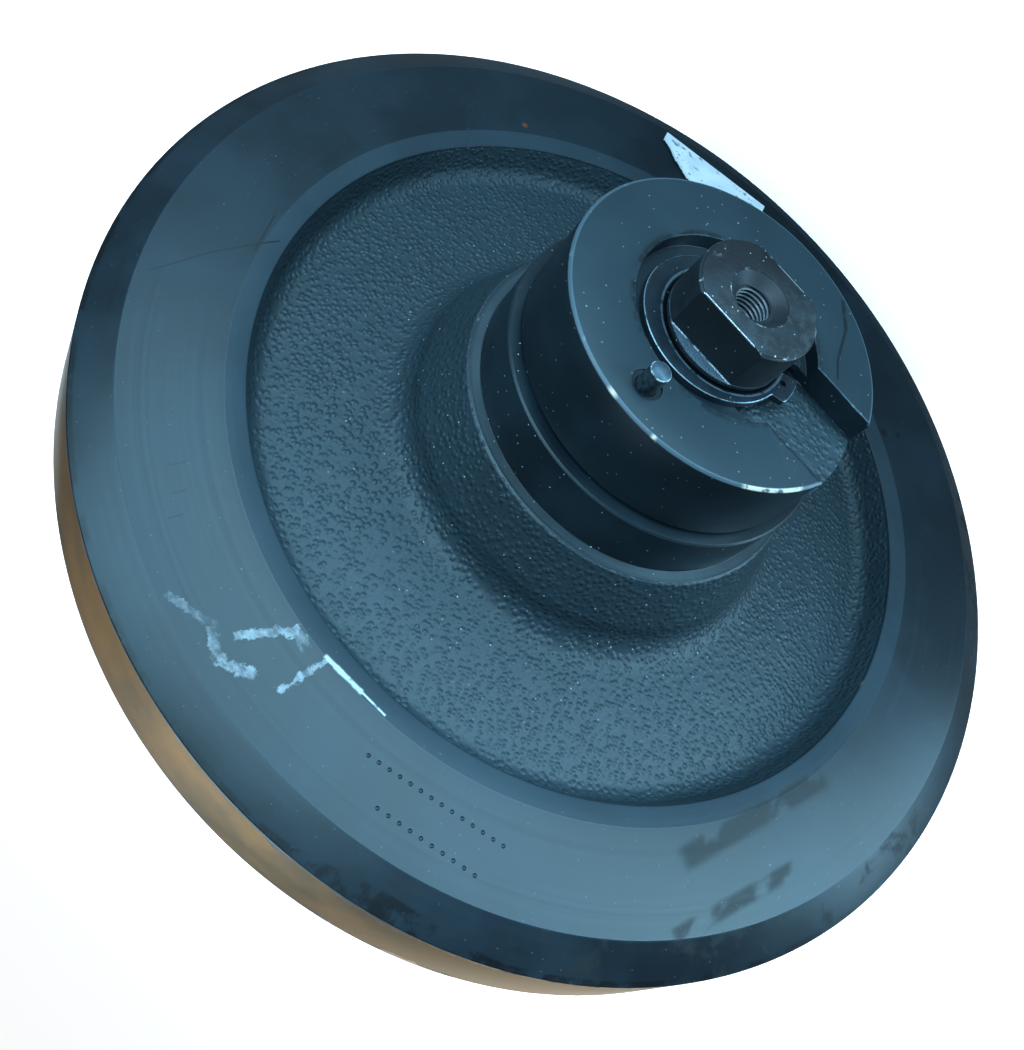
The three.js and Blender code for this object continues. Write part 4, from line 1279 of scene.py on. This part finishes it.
def rough_slot_cutter(seed):
    """A block for the slot, with wandering walls and a rough floor."""
    low = Vector((-collar_radius - 6, collar_face - SLOT_DEPTH, -SLOT_HALF))
    high = Vector((0, collar_face + 4, SLOT_HALF))
    mesh = bpy.data.meshes.new("slot")
    work = bmesh.new()
    counts = [max(1, round((high[axis] - low[axis]) / SLOT_GRID)) for axis in (X, Y, Z)]
    for axis in (X, Y, Z):
        wide, tall = [other for other in (X, Y, Z) if other != axis]
        for level in (low[axis], high[axis]):
            grid = []
            for i in range(counts[wide] + 1):
                line = []
                for j in range(counts[tall] + 1):
                    point = Vector((0, 0, 0))
                    point[axis] = level
                    point[wide] = low[wide] + (high[wide] - low[wide]) * i / counts[wide]
                    point[tall] = low[tall] + (high[tall] - low[tall]) * j / counts[tall]
                    line.append(work.verts.new(point))
                grid.append(line)
            for i in range(counts[wide]):
                for j in range(counts[tall]):
                    work.faces.new((grid[i][j], grid[i + 1][j], grid[i + 1][j + 1], grid[i][j + 1]))
    bmesh.ops.remove_doubles(work, verts=work.verts, dist=0.01)
    bmesh.ops.recalc_face_normals(work, faces=work.faces)
    for vertex in work.verts:
        slow = noise.noise_vector(vertex.co * 0.13 + Vector((seed, 0, 0)))
        quick = noise.noise_vector(vertex.co * 0.5 + Vector((0, seed, 0)))
        vertex.co += slow * SLOT_WANDER * 1.6 + quick * SLOT_WANDER
    bmesh.ops.scale(work, vec=(MM, MM, MM), verts=work.verts)
    work.to_mesh(mesh)
    work.free()
    cutter = bpy.data.objects.new("slot", mesh)
    bpy.context.scene.collection.objects.link(cutter)
    return cutter


def pin_hole_cutter():
    """The blind hole of the pin with the shallow sink round its mouth."""
    sink_radius, sink_depth = PIN_SINK
    hole_radius, hole_foot = PIN_RADIUS + FIT_GAP, PIN_FOOT - FIT_GAP
    sink_foot, above_face = collar_face - sink_depth, collar_face + 3
    points = [(0, hole_foot), (hole_radius, hole_foot), (hole_radius, sink_foot),
              (sink_radius, sink_foot), (sink_radius + 0.3, above_face), (0, above_face)]
    cutter = turned("pin_hole", points, 64, COLLAR_FINISH, closed=False)
    cutter.data.transform(Matrix.Translation((PIN_AT[0] * MM, 0, PIN_AT[1] * MM)))
    return cutter


for index, side in enumerate(SIDES):
    collar = turned(f"slotted_collar_{side}", outline(collar_section()), 192, COLLAR_FINISH)
    on_face = Vector((0, collar_face, 0))
    step = box_cutter(*[Vector(corner) + on_face for corner in RECESS_STEP])
    cut(collar, rough_slot_cutter(3.0 + index * 7), pin_hole_cutter(), step)
    for_side(collar, side)
    stands_for(collar, f"collar_{side}", FIXED)

# %% [markdown]
# ## Snap rings and pins
# A snap ring holds each collar on the shaft. It is stamped from sheet: round inside, wider opposite its gap,
# with a drilled lug at each end for the pliers. It is drawn as one strip that runs round from lug to lug,
# with its own bevels, because a lathe can't make a ring of changing width.

# %% Stamp the snap rings
RING_INNER = 23.8
RING_OUTER = 31.2
RING_OFFSET = 2.9
LUG_RADIUS = 34.0
LUG_ANGLE = 34.0
LUG_FLARE = 6.0
GAP_HALF = 3.5
LUG_HOLE = (1.4, 16.6)
LUG_DIRECTION = 205.0
RING_BEVEL = 0.35
RING_ROLL = (3.0, 1.3)
RING_STEPS = 180


def ring_outer(angle):
    """Outer radius of the snap ring at an angle from the middle of its gap, in degrees."""
    turn = math.radians(angle)
    along = -RING_OFFSET * math.cos(turn)
    disc = along + math.sqrt(RING_OUTER ** 2 - (RING_OFFSET * math.sin(turn)) ** 2)
    away = min(angle, 360 - angle)
    lug = min(max((LUG_ANGLE - away) / LUG_FLARE, 0), 1)
    return disc + (LUG_RADIUS - disc) * lug * lug * (3 - 2 * lug)


def snap_ring(name):
    """A strip of bevelled section, from one lug round to the other."""
    mesh = bpy.data.meshes.new(name)
    work = bmesh.new()
    loops = []
    for step in range(RING_STEPS + 1):
        share = step / RING_STEPS
        inner_end = math.degrees(math.asin(GAP_HALF / RING_INNER))
        outer_end = math.degrees(math.asin(GAP_HALF / LUG_RADIUS))
        inner = inner_end + (360 - 2 * inner_end) * share
        outer = outer_end + (360 - 2 * outer_end) * share
        outer_radius = ring_outer(outer)
        section = [
            (RING_INNER, snap_bottom, 0), (RING_INNER, snap_top - RING_ROLL[1], 0),
            (RING_INNER + RING_ROLL[0], snap_top, 0), (outer_radius - RING_BEVEL, snap_top, 1),
            (outer_radius, snap_top - RING_BEVEL, 1), (outer_radius, snap_bottom, 1),
        ]
        loop = []
        for radius, height, is_outer in section:
            turn = math.radians(outer if is_outer else inner)
            loop.append(work.verts.new((radius * math.cos(turn), height, radius * math.sin(turn))))
        loops.append(loop)
    for first, second in zip(loops, loops[1:]):
        for i in range(len(first)):
            j = (i + 1) % len(first)
            work.faces.new((first[i], first[j], second[j], second[i]))
    work.faces.new(loops[0])
    work.faces.new(list(reversed(loops[-1])))
    bmesh.ops.recalc_face_normals(work, faces=work.faces)
    bmesh.ops.scale(work, vec=(MM, MM, MM), verts=work.verts)
    work.to_mesh(mesh)
    work.free()
    mesh.materials.append(SNAP_RING_FINISH)
    ring = bpy.data.objects.new(name, mesh)
    bpy.context.scene.collection.objects.link(ring)
    return ring


for side in SIDES:
    ring = snap_ring(f"lugged_snap_ring_{side}")
    holes = []
    for angle in (-LUG_HOLE[1], LUG_HOLE[1]):
        drill = [(0, 90), (LUG_HOLE[0], 90), (LUG_HOLE[0], 125), (0, 125)]
        hole = turned("hole", drill, 32, SNAP_RING_FINISH, closed=False)
        middle = Matrix.Rotation(math.radians(angle), 4, "Y") @ Vector(((RING_INNER + LUG_RADIUS) / 2, 0, 0))
        hole.data.transform(Matrix.Translation(middle * MM))
        holes.append(hole)
    cut(ring, *holes)
    ring.data.transform(Matrix.Rotation(math.radians(LUG_DIRECTION), 4, "Y"))
    for_side(ring, side)
    stands_for(ring, f"snap_ring_{side}", FIXED)

# %% [markdown]
# ### Locating pins
# A pin keeps each collar from turning in the machine's bracket. It is a turned dowel with a chamfered foot
# and a crowned end. The crown is a shallow ball cap, so its points come from the radius of that ball.

# %% Turn the locating pins
PIN_PROUD = 9.0
PIN_CROWN = 1.2
PIN_CHAMFER = 0.7
CROWN_STEPS = 10


def pin_section():
    """The pin's section, from its foot to the top of its crown."""
    crown_radius = (PIN_RADIUS ** 2 + PIN_CROWN ** 2) / (2 * PIN_CROWN)
    crown_angle = math.asin(PIN_RADIUS / crown_radius)
    top = collar_face + PIN_PROUD + PIN_CROWN
    points = [(0, PIN_FOOT), (PIN_RADIUS - PIN_CHAMFER, PIN_FOOT), (PIN_RADIUS, PIN_FOOT + PIN_CHAMFER),
              (PIN_RADIUS, top - PIN_CROWN - 0.3)]
    for step in range(CROWN_STEPS + 1):
        angle = crown_angle * (1 - step / CROWN_STEPS)
        points.append((crown_radius * math.sin(angle), top - crown_radius * (1 - math.cos(angle))))
    return points


for side in SIDES:
    pin = turned(f"crowned_pin_{side}", pin_section(), 72, PIN_FINISH, closed=False)
    pin.data.transform(Matrix.Translation((PIN_AT[0] * MM, 0, PIN_AT[1] * MM)))
    for_side(pin, side)
    stands_for(pin, f"locating_pin_{side}", FIXED)

# %% [markdown]
# ## Bushings, seals and the filler plug
# These hardly show, but they are in the part, so they get true round surfaces too. Each is one section on
# the lathe. The seal faces meet in the middle of the gap between hub and collar: one metal ring in each,
# pressed together by a rubber ring of round section.

# %% Turn the inner pieces
SEAL_MIDDLE = 76.55
SEAL_GAP_HALF = 0.15
SEAL_RING = {"inner": 40.5, "outer": 54.0, "neck": 45.5, "length": 13.2, "lip": 2.2, "tail": 5.0}
ROUND_STEPS = 24


def bushing_section():
    """A flanged bushing of the frame's own length and diameters."""
    inner = shaft_middle_radius + FIT_GAP
    outer = HUB_BORE - FIT_GAP
    flange_top = reach("bushing_left", Y)
    flange_foot = HUB_BORE_HALF + FIT_GAP
    flange = reach("bushing_left", X)
    return [(inner, OIL_SPACE[1], 0.6), (outer, OIL_SPACE[1], 0.6), (outer, flange_foot, 0.3),
            (flange, flange_foot, 0.3), (flange, flange_top, 0.8), (inner, flange_top, 0.8)]


def seal_ring_section(way):
    """A metal seal ring: way -1 lies in the hub and 1 in the collar."""
    def level(distance):
        return SEAL_MIDDLE + way * (SEAL_GAP_HALF + distance)
    ring = SEAL_RING
    slope_foot = ring["length"] - ring["tail"]
    return [
        (ring["inner"], level(0), 0.2),
        (ring["outer"], level(0), 0.2),
        (ring["outer"], level(ring["lip"]), 0.3),
        (ring["neck"], level(slope_foot), 1.5),
        (ring["neck"], level(ring["length"]), 0.4),
        (ring["inner"], level(ring["length"]), 0.4),
    ]


def round_section(node):
    """The round section of a rubber ring, from the room that its node takes in the frame."""
    outer, bottom, top = reach(node, X), start(node, Y), reach(node, Y)
    radius = (top - bottom) / 2 / math.cos(math.radians(30)) * 0.98
    middle, level = outer - radius * math.cos(math.radians(30)), (top + bottom) / 2
    turns = [math.tau * step / ROUND_STEPS for step in range(ROUND_STEPS)]
    return [(middle + radius * math.cos(turn), level + radius * math.sin(turn)) for turn in turns]


def inner_piece(name, node, points, finish, body):
    """Turns one inner piece for both sides."""
    for side in SIDES:
        piece = turned(f"{name}_{side}", points, 96, finish)
        for_side(piece, side)
        stands_for(piece, f"{node}_{side}", body)


bushing = outline(bushing_section())
hub_seal = outline(seal_ring_section(-1))
collar_seal = outline(seal_ring_section(1))
inner_piece("flanged_bushing", "bushing", bushing, BRONZE_FINISH, TURNING)
inner_piece("hub_face_seal", "hub_seal_ring", hub_seal, SEAL_FINISH, TURNING)
inner_piece("collar_face_seal", "collar_seal_ring", collar_seal, SEAL_FINISH, FIXED)
for name, node, body in (
    ("hub_toric_ring", "hub_seal_rubber", TURNING),
    ("collar_toric_ring", "collar_seal_rubber", FIXED),
    ("shaft_o_ring", "collar_o_ring", FIXED),
):
    inner_piece(name, node, round_section(node + "_left"), RUBBER_FINISH, body)

# %% [markdown]
# ### Filler plug
# The plug closes the oil filler bore, with a copper washer under its head. Both are turned upright and then
# laid in the sloping bore by the same placing that drilled it, so they can't miss it.

# %% Turn the filler plug and its washer
PLUG_HEAD = (9.5, 6.0)
PLUG_THREAD_LENGTH = 14.0
PLUG_SOCKET = (8.0, 4.0)
WASHER = (6.3, 10.5, 1.5)

head_foot = FILLER_SEAT + 0.6 + WASHER[2]
head_top = head_foot + PLUG_HEAD[1]
plug_thread = FILLER_BORE - 0.3
plug_stations = [
    (0, head_foot - PLUG_THREAD_LENGTH, 0),
    (plug_thread - 1, head_foot - PLUG_THREAD_LENGTH, 0.2),
    (plug_thread, head_foot - PLUG_THREAD_LENGTH + 1, 0.2),
    (plug_thread, head_foot, 0),
    (PLUG_HEAD[0], head_foot, 0.3),
    (PLUG_HEAD[0], head_top, 1.2),
    (0, head_top, 0),
]
plug = turned("socket_filler_plug", outline(plug_stations, closed=False), 72, PLUG_FINISH, closed=False)
hexagon = [(0, head_top - PLUG_SOCKET[1]), (PLUG_SOCKET[0] / math.sqrt(3), head_top - PLUG_SOCKET[1]),
           (PLUG_SOCKET[0] / math.sqrt(3), head_top + 2), (0, head_top + 2)]
cut(plug, turned("socket", hexagon, 6, PLUG_FINISH, closed=False))
plug.data.transform(filler_place())
stands_for(plug, "oil_filler_plug", TURNING)

foot = FILLER_SEAT + 0.3
washer_stations = [(WASHER[0], foot, 0.3), (WASHER[1], foot, 0.4), (WASHER[1], foot + WASHER[2], 0.4),
                   (WASHER[0], foot + WASHER[2], 0.3)]
washer = turned("copper_washer", outline(washer_stations), 72, COPPER_FINISH)
washer.data.transform(filler_place())
stands_for(washer, "filler_plug_washer", TURNING)

# %% [markdown]
# ## The torn label
# A label was stuck on the rim and mostly torn off. It is a thin film on a fine grid: the cells beyond a
# wandering tear line are dropped, the freed edge curls up a little, and Solidify gives the film its
# thickness. It is blank, with a few grey smears where the print has rubbed away.

# %% Finish and tear the label
LABEL_SIZE = (64.0, 24.0)
LABEL_MIDDLE = (61.0, 166.7)
LABEL_TURN = 16.4
LABEL_CELL = 0.8
LABEL_FILM = 0.15
TEAR_ROUGH = 2.2
TEAR_WAVE = 0.16
TEAR_INSET = 1.2
CORNER_FROM = 12.0
CORNER_SLOPE = 0.75
CURL_WIDTH = 5.0
CURL_LIFT = 1.1


def label_finish():
    """White film with grey smears."""
    finish = Finish("white_label_film", specular_ior_level=0.4)
    dark_patches = finish.noise(7.0, detail=5.0, roughness=0.75, stretch=(1, 1, 2), seed=71.0)
    cloud = finish.noise(11, detail=3.0, seed=72.0)
    colour = finish.mix(cloud.above(0.3, 0.7), shade(238, 244, 248), shade(214, 226, 234))
    colour = finish.mix(dark_patches.above(0.56, 0.62) * 0.8, colour, shade(70, 78, 84))
    return finish.set(colour, 0.45 + dark_patches * 0.2, 0.0, cloud * 0.1)


def torn_label():
    """The film in the left frame, lying on the rim's flat ring, then turned to the right face."""
    length, width = LABEL_SIZE
    columns, rows = round(length / LABEL_CELL), round(width / LABEL_CELL)
    level = abs(label_face) + LABEL_FILM
    work = bmesh.new()
    points = {}
    turn = Matrix.Rotation(math.radians(LABEL_TURN), 4, "Y")
    for i in range(columns + 1):
        for j in range(rows + 1):
            along, across = -length / 2 + i * LABEL_CELL, -width / 2 + j * LABEL_CELL
            ragged = TEAR_ROUGH * noise.noise(Vector((along * TEAR_WAVE, across * TEAR_WAVE, 4.0)))
            corner = max(0, along - CORNER_FROM) * CORNER_SLOPE
            tear = min(width / 2 - TEAR_INSET - ragged - corner, width / 2)
            free = max(0.0, min(1.0, (across - tear + CURL_WIDTH) / CURL_WIDTH))
            points[i, j] = (along, across, tear, level + free * free * CURL_LIFT)
    made = {}
    for i in range(columns):
        for j in range(rows):
            corners = [(i, j), (i + 1, j), (i + 1, j + 1), (i, j + 1)]
            if any(points[corner][1] > points[corner][2] for corner in corners):
                continue
            face = []
            for corner in corners:
                if corner not in made:
                    along, across, _, height = points[corner]
                    made[corner] = work.verts.new((turn @ Vector((along, height, -across))
                                                   + Vector((LABEL_MIDDLE[0], 0, LABEL_MIDDLE[1]))) * MM)
                face.append(made[corner])
            work.faces.new(face)
    mesh = bpy.data.meshes.new("torn_label")
    work.to_mesh(mesh)
    work.free()
    mesh.materials.append(LABEL_FINISH)
    label = bpy.data.objects.new("torn_label", mesh)
    bpy.context.scene.collection.objects.link(label)
    film = label.modifiers.new("film", "SOLIDIFY")
    film.thickness = LABEL_FILM * MM
    film.offset = 0
    settled(label)
    face_outwards(label.data)
    return for_side(label, "right")


LABEL_FINISH = label_finish()
label = torn_label()
stands_for(label, "blank_label", TURNING)

# %% [markdown]
# ## Floor and light
# The wheel stands on a plain pale floor. A broad cool panel low in front stands for open sky: the turned rim
# mirrors it at the top of the wheel and less and less further down, which is what gives satin paint its
# depth. Weaker lamps open up the shadows, and a soft sun lights the floor alone.

# %% Lay the floor and set the lights
FLOOR_REACH = 12.0
SKY = (0.42, 0.76, 1.0)
PALE_SKY = (0.62, 0.84, 1.0)
WARM = (1.0, 0.86, 0.68)


def floor_finish():
    """Pale matt floor that throws less light back on the piece than it shows."""
    finish = Finish("pale_floor", emission_strength=0.42)
    direct = finish.node("ShaderNodeLightPath")["Is Camera Ray"]
    glow = finish.mix(direct, (0, 0, 0, 1), (1, 1, 1, 1))
    finish.tree.links.new(glow.socket, finish.shader.inputs["Emission Color"])
    return finish.set(finish.mix(direct, shade(76, 78, 80), shade(240, 240, 240)), 0.9)


def lay_floor():
    """A square floor that touches the tread."""
    mesh = bpy.data.meshes.new("floor")
    low = -tread_radius * MM
    edge = FLOOR_REACH
    corners = [(-edge, -edge, low), (edge, -edge, low), (edge, edge, low), (-edge, edge, low)]
    mesh.from_pydata(corners, [], [(0, 1, 2, 3)])
    mesh.materials.append(floor_finish())
    made = bpy.data.objects.new("floor", mesh)
    bpy.context.scene.collection.objects.link(made)
    return made


def lamp(name, at, aim, size, power, colour):
    """A soft rectangular lamp that the camera doesn't see."""
    data = bpy.data.lights.new(name, "AREA")
    data.shape = "RECTANGLE"
    data.size, data.size_y = size
    data.energy = power
    data.color = colour
    made = bpy.data.objects.new(name, data)
    bpy.context.scene.collection.objects.link(made)
    made.location = at
    made.rotation_mode = "QUATERNION"
    made.rotation_quaternion = (Vector(aim) - Vector(at)).to_track_quat("-Z", "Y")
    made.visible_camera = False
    return made


floor = lay_floor()
lamp("sky panel", (-0.22, -1.18, -0.19), (-0.22, -1.18, 1), (1.4, 1.25), 50, SKY)
lamp("side panel", (-0.6, -0.4, -0.19), (-0.6, -0.4, 1), (0.6, 0.55), 8, SKY)
lamp("front fill", (0.4, -1.15, 0.66), (0, 0, 0), (1.6, 0.9), 32, SKY)
lamp("back fill", (0.6, 1.5, 0.9), (0, 0, 0), (1.2, 1.2), 4, WARM)
lamp("tread glow", (-0.8, 1.3, 0.1), (0, 0, 0), (0.9, 0.7), 4, WARM)
lamp("rear panel", (0.1, 1.2, -0.19), (0.1, 1.2, 1), (1.5, 1.2), 36, PALE_SKY)
lamp("rear fill", (-0.1, 1.2, 1.4), (0, 0, 0), (1.0, 1.0), 22, PALE_SKY)

daylight = bpy.data.lights.new("floor daylight", "SUN")
daylight.energy = 1.7
daylight.angle = 1.2
sun = bpy.data.objects.new("floor daylight", daylight)
bpy.context.scene.collection.objects.link(sun)
floor_only = bpy.data.collections.new("floor only")
floor_only.objects.link(floor)
sun.light_linking.receiver_collection = floor_only

world = bpy.data.worlds.new("studio")
world.use_nodes = True
bpy.context.scene.world = world
world.node_tree.nodes.clear()
studio = Graph(world.node_tree)
seen = studio.node("ShaderNodeLightPath")["Is Camera Ray"]
backdrop = studio.node("ShaderNodeBackground", None, {
    "Color": (0.9, 0.95, 1.0, 1.0), "Strength": seen * 0.82 + 0.1})
studio.node("ShaderNodeOutputWorld", None, {"Surface": backdrop["Background"]})
bpy.context.scene.view_settings.view_transform = "Standard"
